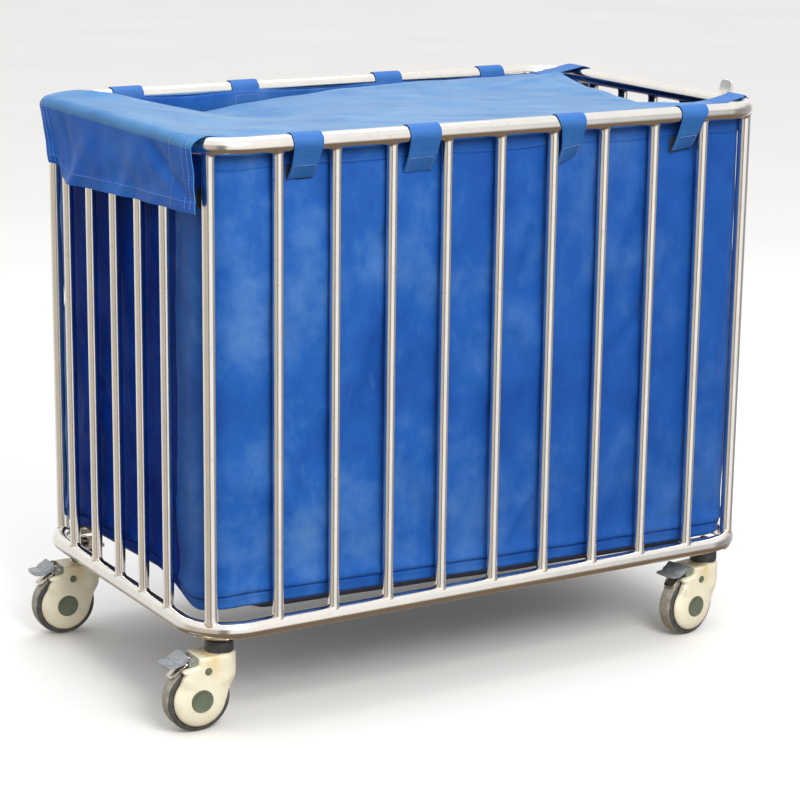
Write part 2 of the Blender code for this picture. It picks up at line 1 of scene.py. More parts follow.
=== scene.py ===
"""Linen trolley: the visible pieces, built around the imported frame.

Metres, +Z up, the front of the trolley towards -Y and its right end towards +X.
"""
import math
import random

import bmesh
import bpy
import numpy as np
from mathutils import Matrix, Vector, noise


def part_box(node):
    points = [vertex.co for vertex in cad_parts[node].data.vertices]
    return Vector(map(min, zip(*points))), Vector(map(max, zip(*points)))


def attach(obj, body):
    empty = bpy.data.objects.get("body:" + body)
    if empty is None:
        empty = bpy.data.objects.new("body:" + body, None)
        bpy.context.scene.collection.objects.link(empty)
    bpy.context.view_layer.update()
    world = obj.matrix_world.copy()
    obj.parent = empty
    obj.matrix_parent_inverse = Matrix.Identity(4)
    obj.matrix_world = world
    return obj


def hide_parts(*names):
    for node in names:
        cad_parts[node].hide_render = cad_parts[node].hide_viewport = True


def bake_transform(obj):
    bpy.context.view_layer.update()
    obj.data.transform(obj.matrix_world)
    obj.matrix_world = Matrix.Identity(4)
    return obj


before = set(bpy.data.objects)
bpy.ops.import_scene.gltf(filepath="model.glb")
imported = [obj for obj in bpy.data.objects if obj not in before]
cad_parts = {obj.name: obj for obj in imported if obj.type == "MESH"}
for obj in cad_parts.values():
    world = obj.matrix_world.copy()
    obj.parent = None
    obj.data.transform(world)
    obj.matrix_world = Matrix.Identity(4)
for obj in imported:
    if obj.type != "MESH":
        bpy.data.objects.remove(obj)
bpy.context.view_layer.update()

# Cage, as the frame has it: every x below is measured from the cage's middle.
SHIFT = 0.0140
RAIL_RADIUS = 0.0127
BEND_RADIUS = 0.070
LOWER_RAIL_Z = 0.155
UPPER_RAIL_Z = 0.8425
POST_RADIUS = 0.0095
BAR_RADIUS = 0.008
POST_X = 0.4582
POST_Y = 0.2620
RAIL_X = POST_X + BEND_RADIUS * (1.0 - math.sqrt(0.5))
RAIL_Y = POST_Y + BEND_RADIUS * (1.0 - math.sqrt(0.5))
PLATE_TOP = 0.1435
PLATE_BOTTOM = 0.1395
PLATE_HALF = 0.026

# Casters: kingpin places and rest directions, with the wheel behind the kingpin by the trail.
CASTER_X = POST_X - 0.024
CASTER_Y = POST_Y - 0.024
AXLE_Z = 0.050 * math.cos(math.pi / 24)
TRAIL = 0.037
HOUSING_HALF = 0.0235
HOUSING_TOP = 0.0642
SLOT_HALF = 0.0132
PIN_X = -0.012           # brake pin, from the wheel's centre
PIN_Z = 0.0595
CASTERS = {
    "front_left": (-1, -1, -2.0),
    "front_right": (1, -1, 9.0),
    "rear_left": (-1, 1, -3.0),
    "rear_right": (1, 1, 5.0),
}

# Soft goods.
BAG_X = RAIL_X - RAIL_RADIUS - 0.003
BAG_Y = RAIL_Y - RAIL_RADIUS - 0.003
BAG_CORNER = 0.046
CLOTH = 0.0012


# ---------------------------------------------------------------- mesh helpers

QUARTERS = ((1, 1), (-1, 1), (-1, -1), (1, -1))      # signs of x and y, counter-clockwise


class Shape:
    """Vertices and faces of one piece, with the number of a finish for each face."""

    def __init__(self):
        self.verts = []
        self.faces = []
        self.finish = []

    def add(self, verts, faces):
        base = len(self.verts)
        self.verts.extend(tuple(float(c) for c in v) for v in verts)
        self.faces.extend(tuple(base + i for i in face) for face in faces)
        self.finish.extend([0] * len(faces))

    def mesh(self, name, finishes, sharp=40.0):
        made = bpy.data.meshes.new(name)
        made.from_pydata(self.verts, [], self.faces)
        for finish in finishes:
            made.materials.append(finish)
        made.polygons.foreach_set("material_index", self.finish)
        tidy = bmesh.new()
        tidy.from_mesh(made)
        bmesh.ops.recalc_face_normals(tidy, faces=tidy.faces)
        tidy.to_mesh(made)
        tidy.free()
        made.shade_smooth()
        made.set_sharp_from_angle(angle=math.radians(sharp))
        return made


def place(name, mesh, body=None, slot=None, replaces=(), matrix=None):
    made = bpy.data.objects.new(name, mesh)
    bpy.context.scene.collection.objects.link(made)
    if matrix is not None:
        made.matrix_world = matrix
    if body:
        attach(made, body)
    if replaces:
        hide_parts(*replaces)
    return made


def grid_faces(rows, columns, wrap=False):
    """Quads of a grid of vertices, its columns joined round if wrap is set."""
    faces = []
    for r in range(rows - 1):
        for c in range(columns if wrap else columns - 1):
            d = (c + 1) % columns
            faces.append((r * columns + c, r * columns + d, (r + 1) * columns + d, (r + 1) * columns + c))
    return faces


def tube_faces(rows, sides):
    """Quads round a tube of rings, and its two ends."""
    last = (rows - 1) * sides
    return grid_faces(rows, sides, True) + [tuple(range(sides)), tuple(range(last, last + sides))]


def around(count):
    """(cosine, sine) of directions spaced evenly round a circle."""
    return [(math.cos(2.0 * math.pi * k / count), math.sin(2.0 * math.pi * k / count)) for k in range(count)]


def rounded_rectangle(half_x, half_y, radius, steps):
    """(x, y) along a rounded rectangle, counter-clockwise."""
    points = []
    for quarter, (sx, sy) in enumerate(QUARTERS):
        for k in range(steps + 1):
            a = math.radians(90.0 * (quarter + k / steps))
            points.append((sx * (half_x - radius) + radius * math.cos(a),
                           sy * (half_y - radius) + radius * math.sin(a)))
    return points


def loop_tube(shape, points, radius, sides):
    """Closed tube along a loop that goes round its own centre."""
    path = np.array(points, float)
    along = np.roll(path, -1, 0) - np.roll(path, 1, 0)
    along /= np.linalg.norm(along, axis=1)[:, None]
    out = path - path.mean(0)
    out -= (out * along).sum(1)[:, None] * along
    out /= np.linalg.norm(out, axis=1)[:, None]
    side = np.cross(along, out)
    turn = np.linspace(0.0, 2.0 * math.pi, sides, endpoint=False)
    rings = (path[:, None] + radius * (np.cos(turn)[None, :, None] * out[:, None]
                                       + np.sin(turn)[None, :, None] * side[:, None]))
    count = len(path) * sides
    faces = [tuple(i % count for i in face) for face in grid_faces(len(path) + 1, sides, True)]
    shape.add(rings.reshape(-1, 3), faces)


def open_tube(shape, points, radii, sides):
    """Tube along an open path, its radius given for each point."""
    path = np.array(points, float)
    along = np.gradient(path, axis=0)
    along /= np.linalg.norm(along, axis=1)[:, None]
    out = np.array((0.0, 0.0, 1.0)) if abs(along[0][2]) < 0.9 else np.array((1.0, 0.0, 0.0))
    verts = []
    for centre, direction, radius in zip(path, along, radii):
        out = out - (out @ direction) * direction
        out /= np.linalg.norm(out)
        side = np.cross(direction, out)
        verts += [centre + radius * (c * out + s * side) for c, s in around(sides)]
    shape.add(verts, tube_faces(len(path), sides))


def lathe(shape, profile, segments, lift=None, ripple=None):
    """Solid turned about Z from (radius, z) points; lift maps each point to its place."""
    lift = lift or (lambda x, y, z: (x, y, z))
    verts = []
    for i, (radius, z) in enumerate(profile):
        for k, (c, s) in enumerate(around(segments)):
            r = radius + (ripple(i, k) if ripple else 0.0)
            verts.append(lift(r * c, r * s, z))
    shape.add(verts, tube_faces(len(profile), segments))


def along_y(x, y, z):
    """Lays a lathe's axis along Y."""
    return (x, z, -y)


def prism(outline, low, high, lift):
    """Vertices and faces of a solid between two copies of an outline."""
    count = len(outline)
    verts = [lift(p, low) for p in outline] + [lift(p, high) for p in outline]
    faces = [tuple(range(count))[::-1], tuple(range(count, 2 * count))]
    for i in range(count):
        j = (i + 1) % count
        faces.append((i, j, count + j, count + i))
    return verts, faces


def side_plate(shape, outline, low, high):
    """Plate of a caster across its width, its outline seen from the side and from the wheel's centre."""
    shape.add(*prism([(x - TRAIL, z) for x, z in outline], low, high, lambda p, h: (p[0], h, p[1])))


def arc(radius, start, stop, steps, centre=(0.0, 0.0)):
    angles = [math.radians(start + (stop - start) * k / steps) for k in range(steps + 1)]
    return [(centre[0] + radius * math.cos(a), centre[1] + radius * math.sin(a)) for a in angles]


def bevelled(mesh, width, segments=3, angle=30.0):
    """The mesh with its edges rounded."""
    temporary = bpy.data.objects.new("bevel_work", mesh)
    bpy.context.scene.collection.objects.link(temporary)
    step = temporary.modifiers.new("round", "BEVEL")
    step.width = width
    step.segments = segments
    step.limit_method = "ANGLE"
    step.angle_limit = math.radians(angle)
    step.harden_normals = False
    return applied(temporary)


def applied(temporary):
    """The evaluated mesh of an object that is then removed."""
    bpy.context.view_layer.update()
    graph = bpy.context.evaluated_depsgraph_get()
    mesh = bpy.data.meshes.new_from_object(temporary.evaluated_get(graph))
    bpy.data.objects.remove(temporary)
    mesh.shade_smooth()
    return mesh


def smooth_step(t):
    t = np.clip(t, 0.0, 1.0)
    return t * t * (3.0 - 2.0 * t)


# ---------------------------------------------------------------- materials

class Nodes:
    """A node tree, with short calls that add nodes and join them."""

    def __init__(self, tree):
        self.tree = tree
        self.coordinates = tree.nodes.new("ShaderNodeTexCoord").outputs

    def feed(self, socket, value):
        """Joins a socket to another socket, or sets its value."""
        if isinstance(value, bpy.types.NodeSocket):
            self.tree.links.new(value, socket)
        elif isinstance(value, tuple) and socket.type == "RGBA":
            socket.default_value = (*value, 1.0)
        else:
            socket.default_value = value

    def node(self, kind, **inputs):
        made = self.tree.nodes.new("ShaderNode" + kind)
        for name, value in inputs.items():
            self.feed(made.inputs[name.replace("_", " ")], value)
        return made

    def ramp(self, value, *stops):
        """Colour ramp of (position, colour) stops; a number stands for a grey."""
        made = self.node("ValToRGB", Fac=value)
        elements = made.color_ramp.elements
        while len(elements) < len(stops):
            elements.new(0.5)
        for element, (position, colour) in zip(elements, stops):
            element.position = position
            element.color = (*colour, 1.0) if isinstance(colour, tuple) else (colour, colour, colour, 1.0)
        return made.outputs["Color"]

    def math(self, operation, first, second=0.0):
        made = self.tree.nodes.new("ShaderNodeMath")
        made.operation = operation
        for socket, value in zip(made.inputs, (first, second)):
            self.feed(socket, value)
        return made.outputs["Value"]

    def product(self, first, second):
        return self.math("MULTIPLY", first, second)

    def mix(self, amount, first, second):
        made = self.tree.nodes.new("ShaderNodeMix")
        made.data_type = "RGBA"
        for socket, value in ((made.inputs[0], amount), (made.inputs[6], first), (made.inputs[7], second)):
            self.feed(socket, value)
        return made.outputs[2]

    def spread(self, value, low, high, to_low=0.0, to_high=1.0):
        """The value's range from low to high, laid on another range."""
        return self.node("MapRange", Value=value, From_Min=low, From_Max=high, To_Min=to_low,
                         To_Max=to_high)


class Finish(Nodes):
    """One procedural material."""

    def __init__(self, name, **fixed):
        self.material = bpy.data.materials.new(name)
        self.material.use_nodes = True
        super().__init__(self.material.node_tree)
        self.shader = self.tree.nodes["Principled BSDF"]
        for socket, value in fixed.items():
            self.feed(self.shader.inputs[socket.replace("_", " ")], value)

    def stretched(self, scale=(1.0, 1.0, 1.0), source="Object", turn=(0.0, 0.0, 0.0)):
        return self.node("Mapping", Vector=self.coordinates[source], Scale=scale,
                         Rotation=turn).outputs["Vector"]

    def noise(self, scale, detail=4.0, rough=0.55, vector=None):
        vector = self.stretched() if vector is None else vector
        return self.node("TexNoise", Vector=vector, Scale=scale, Detail=detail,
                         Roughness=rough).outputs["Fac"]

    def bump(self, height, strength, distance, under=None):
        made = self.node("Bump", Height=height, Strength=strength, Distance=distance)
        if under is not None:
            self.feed(made.inputs["Normal"], under)
        return made.outputs["Normal"]

    def set(self, **sockets):
        for socket, output in sockets.items():
            self.feed(self.shader.inputs[socket.replace("_", " ")], output)
        return self.material


def steel_finish(name, grain, warm=(0.92, 0.88, 0.82), cool=(0.84, 0.82, 0.79), low=0.10, high=0.24):
    """Polished stainless tube: fine lines along it, water marks and light handling haze."""
    f = Finish(name, Metallic=1.0)
    lines = f.noise(60.0, 5.0, 0.6, f.stretched(grain))
    haze = f.noise(22.0, 6.0, 0.62, f.stretched((1.0, 1.0, 0.6)))
    colour = f.mix(f.ramp(haze, (0.35, 0.0), (0.70, 1.0)), warm, cool)
    marks = f.ramp(f.noise(70.0, 3.0, 0.7), (0.60, 0.0), (0.74, 1.0))
    colour = f.mix(f.product(marks, 0.22), colour, WATER_MARK)
    rough = f.spread(f.math("ADD", lines, f.product(haze, 0.6)), 0.45, 1.15, low, high)
    waves = f.noise(9.0, 2.0, 0.5, f.stretched((1.0, 1.0, 0.25)))
    normal = f.bump(waves, 0.35, 0.0012, f.bump(lines, 0.10, 0.0002))
    return f.set(Base_Color=colour, Roughness=rough.outputs["Result"], Normal=normal)


def weld_finish():
    """Heat-stained weld metal, brown at its edges."""
    f = Finish("weld_steel", Metallic=1.0)
    patch = f.noise(140.0, 5.0, 0.65)
    colour = f.ramp(patch, (0.36, (0.42, 0.27, 0.15)), (0.52, (0.66, 0.57, 0.45)),
                    (0.68, (0.80, 0.76, 0.70)))
    return f.set(Base_Color=colour, Roughness=f.ramp(patch, (0.3, 0.48), (0.7, 0.24)),
                 Normal=f.bump(patch, 0.5, 0.0006))


def fabric_finish(name, deep, mid, pale, pitch=0.0011, sheen=0.25, gloss=0.32, darkens_over=None):
    """Closely woven coated nylon: two sets of threads, faded patches, folds paler along their ridges (partly
    wear, partly painted highlight) and fine creases.

    A stretch of cloth, in metres along its run, may be given as the last argument; over it the cloth darkens
    to its deep colour.
    """
    f = Finish(name, Sheen_Weight=sheen, Sheen_Roughness=0.22, Sheen_Tint=SHEEN_TINT,
               Specular_IOR_Level=gloss)
    weave = []
    for axis in ("X", "Y"):
        wave = f.node("TexWave", Vector=f.stretched(source="UV"), Scale=WAVE_PITCH / pitch, Distortion=0.6,
                      Detail_Scale=2.0)
        wave.bands_direction = axis
        weave.append(wave.outputs["Fac"])
    threads = f.math("MAXIMUM", *weave)
    broad = f.noise(5.5, 5.0, 0.6, f.stretched(source="UV"))
    cloud = f.noise(19.0, 6.0, 0.62, f.stretched((1.0, 0.7, 1.0), "UV"))
    blend = f.math("ADD", f.product(broad, 0.6), f.product(cloud, 0.4))
    colour = f.ramp(blend, (0.34, deep), (0.50, mid), (0.68, pale))
    rubbed = f.ramp(f.noise(26.0, 4.0, 0.7, f.stretched((1.6, 0.5, 1.0), "UV", (0.0, 0.0, 0.7))),
                    (0.60, 0.0), (0.72, 1.0))
    colour = f.mix(f.product(rubbed, 0.24), colour, pale)
    # Crease ridges painted paler: partly wear, partly a painted highlight along the folds; the same ridges
    # also feed the bump.
    sheen_and_wear_ridges = f.node("TexNoise", Vector=f.stretched((1.0, 0.5, 1.0), "UV", (0.0, 0.0, -0.5)), Scale=7.5,
                     Detail=3.0, Roughness=0.5)
    sheen_and_wear_ridges.noise_type = "RIDGED_MULTIFRACTAL"
    patchy = f.ramp(broad, (0.46, 0.0), (0.60, 1.0))
    worn = f.product(f.ramp(sheen_and_wear_ridges.outputs["Fac"], (0.55, 0.0), (1.0, 1.0)), patchy)
    colour = f.mix(f.product(worn, 0.45), colour, pale)
    # Darker along the cloth's run over the given stretch; on the bag, towards the right of the front wall
    # and round the right end.
    if darkens_over:
        along = f.node("SeparateXYZ", Vector=f.coordinates["UV"]).outputs["X"]
        colour = f.mix(f.product(f.spread(along, *darkens_over).outputs["Result"], 0.42), colour, deep)
    colour = f.mix(f.product(threads, 0.10), colour, THREAD_GAP)
    creases = f.noise(34.0, 5.0, 0.6, f.stretched((1.0, 0.55, 1.0), "UV", (0.0, 0.0, 0.5)))
    creases = f.math("ADD", creases, f.product(worn, 0.6))
    normal = f.bump(creases, 0.6, 0.0015, f.bump(threads, 0.20, 0.00010))
    return f.set(Base_Color=colour, Roughness=f.ramp(blend, (0.3, 0.60), (0.7, 0.42)), Normal=normal)


def plain_plastic(name, dark, light, scale, rough=(0.35, 0.5)):
    """Moulded plastic with a fine grain, slight colour drift and scuffs."""
    f = Finish(name)
    fine = f.noise(scale * 9.0, 3.0, 0.7)
    colour = f.ramp(f.noise(scale, 5.0, 0.6), (0.36, dark), (0.66, light))
    scuff = f.ramp(f.noise(scale * 3.0, 4.0, 0.75, f.stretched((1.0, 1.0, 0.3))), (0.62, 0.0), (0.72, 1.0))
    colour = f.mix(f.product(scuff, 0.25), colour, light)
    return f.set(Base_Color=colour, Roughness=f.ramp(fine, (0.3, rough[0]), (0.7, rough[1])),
                 Normal=f.bump(fine, 0.15, 0.0003))


def cream_finish():
    """Cream moulded plastic, stained yellow below the top edge beside the stem, with specks of grime."""
    f = Finish("housing_cream", Coat_Weight=0.15, Coat_Roughness=0.3)
    colour = f.ramp(f.noise(28.0, 5.0, 0.6), (0.35, (0.84, 0.78, 0.58)), (0.65, (0.93, 0.89, 0.73)))
    split = f.node("SeparateXYZ", Vector=f.coordinates["Object"]).outputs
    height = f.ramp(f.product(split["Z"], 15.0), (0.42, 0.0), (0.86, 1.0))
    near = f.math("ABSOLUTE", f.math("ADD", split["X"], 0.021))
    beside = f.ramp(f.product(near, 40.0), (0.15, 1.0), (0.75, 0.0))
    blot = f.ramp(f.noise(75.0, 4.0, 0.6, f.stretched((1.0, 1.0, 0.5))), (0.35, 0.1), (0.62, 1.0))
    stain = f.product(f.product(height, beside), blot)
    colour = f.mix(f.product(stain, 0.75), colour, YELLOW_STAIN)
    specks = f.ramp(f.noise(210.0, 2.0, 0.5), (0.70, 0.0), (0.76, 1.0))
    colour = f.mix(f.product(specks, 0.5), colour, GRIME)
    fine = f.noise(320.0, 3.0, 0.6)
    return f.set(Base_Color=colour, Roughness=f.ramp(fine, (0.3, 0.30), (0.7, 0.44)),
                 Normal=f.bump(fine, 0.12, 0.0002))


def tyre_finish():
    """Grey rubber: dark sides, and a tread worn and dusted to a pale tan."""
    f = Finish("tyre_grey", Specular_IOR_Level=0.35)
    split = f.node("SeparateXYZ", Vector=f.coordinates["Object"]).outputs
    square = f.math("ADD", f.product(split["X"], split["X"]), f.product(split["Z"], split["Z"]))
    reach = f.product(f.math("SQRT", square), 20.0)
    worn = f.noise(90.0, 5.0, 0.65)
    edge = f.ramp(f.math("ADD", reach, f.product(worn, 0.012)), (0.962, 0.0), (0.978, 1.0))
    side = f.ramp(worn, (0.35, (0.055, 0.056, 0.055)), (0.70, (0.115, 0.115, 0.110)))
    tread = f.ramp(worn, (0.35, (0.30, 0.28, 0.24)), (0.70, (0.50, 0.47, 0.41)))
    grain = f.noise(420.0, 3.0, 0.6)
    return f.set(Base_Color=f.mix(edge, side, tread), Roughness=f.ramp(grain, (0.3, 0.55), (0.7, 0.75)),
                 Normal=f.bump(grain, 0.25, 0.0003))


def thread_finish(name, colour, shade):
    f = Finish(name, Roughness=0.7)
    fibre = f.noise(900.0, 2.0, 0.5)
    return f.set(Base_Color=f.ramp(fibre, (0.3, shade), (0.7, colour)), Normal=f.bump(fibre, 0.4, 0.0002))


def velcro_finish():
    f = Finish("velcro_black", Roughness=0.9, Sheen_Weight=0.2)
    loops = f.node("TexVoronoi", Vector=f.stretched(), Scale=900.0).outputs["Distance"]
    return f.set(Base_Color=f.ramp(loops, (0.1, 0.006), (0.9, 0.035)), Normal=f.bump(loops, 0.8, 0.0006))


WATER_MARK = (0.52, 0.40, 0.27)
YELLOW_STAIN = (0.78, 0.56, 0.20)
GRIME = (0.30, 0.24, 0.15)
THREAD_GAP = (0.0, 0.0, 0.02)
SHEEN_TINT = (0.73, 0.89, 0.98)
WAVE_PITCH = 0.3142      # a wave texture of scale 1 repeats every 0.3142 units

RAIL_STEEL = steel_finish("rail_steel", (1.0, 1.0, 9.0), low=0.09, high=0.22)
BAR_STEEL = steel_finish("bar_steel", (9.0, 9.0, 0.35))
PLATE_STEEL = steel_finish("plate_steel", (2.0, 2.0, 2.0), warm=(0.58, 0.50, 0.42), cool=(0.46, 0.38, 0.30),
                           low=0.30, high=0.48)
TONGUE_STEEL = steel_finish("tongue_steel", (3.0, 9.0, 3.0), warm=(0.66, 0.62, 0.54),
                            cool=(0.55, 0.50, 0.42))
TAB_STEEL = steel_finish("tab_steel", (3.0, 3.0, 3.0), low=0.42, high=0.58)
WELD_STEEL = weld_finish()
BAG_CLOTH = fabric_finish("bag_cloth", (0.005, 0.066, 0.345), (0.011, 0.108, 0.440), (0.075, 0.210, 0.530),
                          sheen=0.14, gloss=0.24, darkens_over=(1.62, 2.12))
# Darker, duller copy of the bag cloth on both end walls: painted shade.
END_SHADE_CLOTH = fabric_finish("end_painted_shade", (0.001, 0.022, 0.235), (0.002, 0.034, 0.300), (0.004, 0.056, 0.400),
                          sheen=0.0, gloss=0.03)
# Near-black copy of the bag cloth for the bag's floor: painted shade under the bag.
FLOOR_SHADE_CLOTH = fabric_finish("floor_painted_shade", (0.004, 0.008, 0.050), (0.006, 0.014, 0.080), (0.010, 0.024, 0.120))
COVER_CLOTH = fabric_finish("cover_cloth", (0.022, 0.145, 0.400), (0.036, 0.190, 0.460),
                            (0.066, 0.255, 0.535), sheen=0.72)
# Copy of the cover cloth for the skirt, deeper blue with less sheen: painted shade on the skirt, which faces
# away from the light.
SKIRT_SHADE_CLOTH = fabric_finish("skirt_painted_shade", (0.003, 0.095, 0.520), (0.006, 0.125, 0.590),
                            (0.016, 0.175, 0.680), sheen=0.22, gloss=0.16)
STRAP_CLOTH = fabric_finish("strap_cloth", (0.018, 0.108, 0.380), (0.028, 0.145, 0.450),
                            (0.052, 0.195, 0.520), pitch=0.0014)
CREAM = cream_finish()
TYRE = tyre_finish()
CAP = plain_plastic("cap_grey", (0.110, 0.135, 0.090), (0.155, 0.185, 0.125), 60.0)
COLLAR = plain_plastic("collar_grey", (0.045, 0.047, 0.052), (0.080, 0.082, 0.088), 60.0, (0.18, 0.32))
PEDAL = plain_plastic("pedal_grey", (0.210, 0.235, 0.265), (0.320, 0.345, 0.370), 45.0, (0.26, 0.40))
CHEEK = plain_plastic("cheek_grey", (0.200, 0.225, 0.200), (0.290, 0.310, 0.270), 60.0)
CORE = plain_plastic("core_grey", (0.300, 0.300, 0.290), (0.400, 0.400, 0.380), 60.0)
THREAD = thread_finish("thread_pale", (0.28, 0.42, 0.70), (0.15, 0.26, 0.52))
DARK_THREAD = thread_finish("thread_blue", (0.10, 0.19, 0.46), (0.05, 0.11, 0.34))
VELCRO = velcro_finish()


# ---------------------------------------------------------------- cage

def rail_path(height):
    return [(x + SHIFT, y, height) for x, y in rounded_rectangle(RAIL_X, RAIL_Y, BEND_RADIUS, 24)]


RAIL_SIDES = 36
UPRIGHT_SIDES = 28
WELD_RINGS = (-0.0020, 0.0, 0.0005, 0.0011, 0.0020, 0.0034, 0.0060, 0.012)
WELD_FACES = 3           # rings of faces at each end that are weld metal
WELD_FLARE = 0.0016
WELD_REACH = 0.0015


def upright(shape, x, y, radius, rail_direction):
    """Tube welded between the rails: its ends follow the rails and flare into small fillets."""
    sides = UPRIGHT_SIDES
    across = (-rail_direction[1], rail_direction[0])
    ends = [(h, WELD_FLARE * math.exp(-max(h, 0.0) / WELD_REACH)) for h in WELD_RINGS]
    rings = [(LOWER_RAIL_Z, 1.0, h, extra) for h, extra in ends]
    rings += [(LOWER_RAIL_Z + (UPPER_RAIL_Z - LOWER_RAIL_Z) * part, 0.0, 0.0, 0.0)
              for part in (0.25, 0.5, 0.75)]
    rings += [(UPPER_RAIL_Z, -1.0, h, extra) for h, extra in reversed(ends)]
    verts = []
    for base, sign, h, extra in rings:
        for c, s in around(sides):
            dx, dy = (radius + extra) * c, (radius + extra) * s
            off = min(abs(dx * across[0] + dy * across[1]), RAIL_RADIUS)
            saddle = math.sqrt(RAIL_RADIUS ** 2 - off ** 2)
            verts.append((x + dx, y + dy, base + sign * (saddle + h)))
    faces = grid_faces(len(rings), sides, True)
    shape.add(verts, faces)
    last = len(rings) - 1
    for i in range(len(faces)):
        if i // sides < WELD_FACES or i // sides >= last - WELD_FACES:
            shape.finish[i - len(faces)] = 1


def build_cage():
    for name, height in (("top_rail", UPPER_RAIL_Z), ("bottom_rail", LOWER_RAIL_Z)):
        shape = Shape()
        loop_tube(shape, rail_path(height), RAIL_RADIUS, RAIL_SIDES)
        place(name + "_tube", shape.mesh(name + "_tube", [RAIL_STEEL]), "root", "rail_steel", [name])
    for node in sorted(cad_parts):
        if "_bar_" not in node and not node.endswith("_post"):
            continue
        low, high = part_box(node)
        x, y = (low.x + high.x) / 2, (low.y + high.y) / 2
        if node.endswith("_post"):
            sx, sy = math.copysign(math.sqrt(0.5), x - SHIFT), math.copysign(math.sqrt(0.5), y)
            direction, radius, slot = (-sy, sx), POST_RADIUS, "post_steel"
        else:
            sideways = node.startswith(("left", "right"))
            direction, radius, slot = ((0.0, 1.0) if sideways else (1.0, 0.0)), BAR_RADIUS, "bar_steel"
        shape = Shape()
        upright(shape, x, y, radius, direction)
        place(node + "_tube", shape.mesh(node + "_tube", [BAR_STEEL, WELD_STEEL]), "root", slot, [node])
    build_tab()
    build_plates()


TAB_FRONT = -0.187
TAB_BACK = -0.151
TAB_TOP = 0.875
TAB_THICKNESS = 0.003
TAB_BEAD = (0.0009, 0.0015, 0.0013, 0.0016, 0.0014, 0.0016, 0.0013, 0.0008)


def build_tab():
    """Upright plate welded to the outer side of the right end."""
    inner = SHIFT + RAIL_X + RAIL_RADIUS - 0.0015
    low = UPPER_RAIL_Z - 0.006
    outline = [(TAB_FRONT, low), (TAB_BACK, low), (TAB_BACK, UPPER_RAIL_Z), (-0.160, 0.871),
               (-0.164, TAB_TOP), (-0.183, TAB_TOP), (TAB_FRONT, 0.871)]
    shape = Shape()
    shape.add(*prism(outline, inner, inner + TAB_THICKNESS, lambda p, h: (h, p[0], p[1])))
    place("rail_tab", bevelled(shape.mesh("rail_tab", [TAB_STEEL]), 0.0008), "root", "rail_steel")
    bead = Shape()
    for y in (TAB_FRONT, TAB_BACK):
        path = [(inner - 0.0012 + 0.0022 * math.cos(t), y, UPPER_RAIL_Z - 0.005 + 0.0014 * k)
                for k, t in enumerate(np.linspace(-0.8, 0.8, len(TAB_BEAD)))]
        open_tube(bead, path, TAB_BEAD, 10)
    place("rail_tab_weld", bead.mesh("rail_tab_weld", [WELD_STEEL]), "root", "rail_steel")


BEAD_SWEEP = 42.0        # degrees of the rail's bend that each bead follows


def build_plates():
    """Caster plates under the lower rail's bends, with their weld beads."""
    for name, (sx, sy, _) in CASTERS.items():
        x, y = SHIFT + sx * CASTER_X, sy * CASTER_Y
        shape = Shape()
        outline = rounded_rectangle(PLATE_HALF, PLATE_HALF, 0.005, 5)
        shape.add(*prism(outline, PLATE_BOTTOM, PLATE_TOP, lambda p, h: (x + p[0], y + p[1], h)))
        mesh = bevelled(shape.mesh("plate", [PLATE_STEEL]), 0.0006)
        place(name + "_caster_plate", mesh, "root", "rail_steel")
        bead = Shape()
        centre = (SHIFT + sx * (RAIL_X - BEND_RADIUS), sy * (RAIL_Y - BEND_RADIUS))
        draw = random.Random(name)
        for radius in (BEND_RADIUS - 0.0062, BEND_RADIUS + 0.0062):
            path = [(centre[0] + sx * px, centre[1] + sy * py, PLATE_TOP + 0.0004)
                    for px, py in arc(radius, 45.0 - BEAD_SWEEP / 2, 45.0 + BEAD_SWEEP / 2, 40)]
            radii = [0.0017 + 0.0005 * draw.random() for _ in path]
            radii[0] = radii[-1] = 0.0008
            open_tube(bead, path, radii, 10)
        place(name + "_plate_weld", bead.mesh("plate_weld", [WELD_STEEL], 60.0), "root", "rail_steel")


# ---------------------------------------------------------------- casters

def housing_outline():
    """Side view of the twin covers, from the wheel's centre, the kingpin ahead at +TRAIL."""
    column = TRAIL + HOUSING_HALF
    points = [(column, 0.046), (column, HOUSING_TOP), (-0.004, HOUSING_TOP), (-0.004, 0.0525),
              (-0.012, 0.0512), (-0.0235, 0.0492), (-0.0282, 0.0474), (-0.0290, 0.0458), (-0.0270, 0.0436),
              (-0.0245, 0.0415), (-0.0248, 0.0392), (-0.0270, 0.0365)]
    points += arc(0.0405, 141.0, 348.0, 44)
    points += [(0.0420, -0.0020), (0.0448, 0.0080), (0.0500, 0.0180), (0.0555, 0.0270), (0.0590, 0.0360)]
    return points


def outline_distance(points, outline):
    """Distance of each (x, z) point from a closed outline."""
    near = np.full(len(points), 1e9)
    for i, a in enumerate(outline):
        a = np.array(a)
        b = np.array(outline[(i + 1) % len(outline)])
        t = np.clip(((points - a) @ (b - a)) / max((b - a) @ (b - a), 1e-12), 0.0, 1.0)
        near = np.minimum(near, np.linalg.norm(points - (a + t[:, None] * (b - a)), axis=1))
    return near


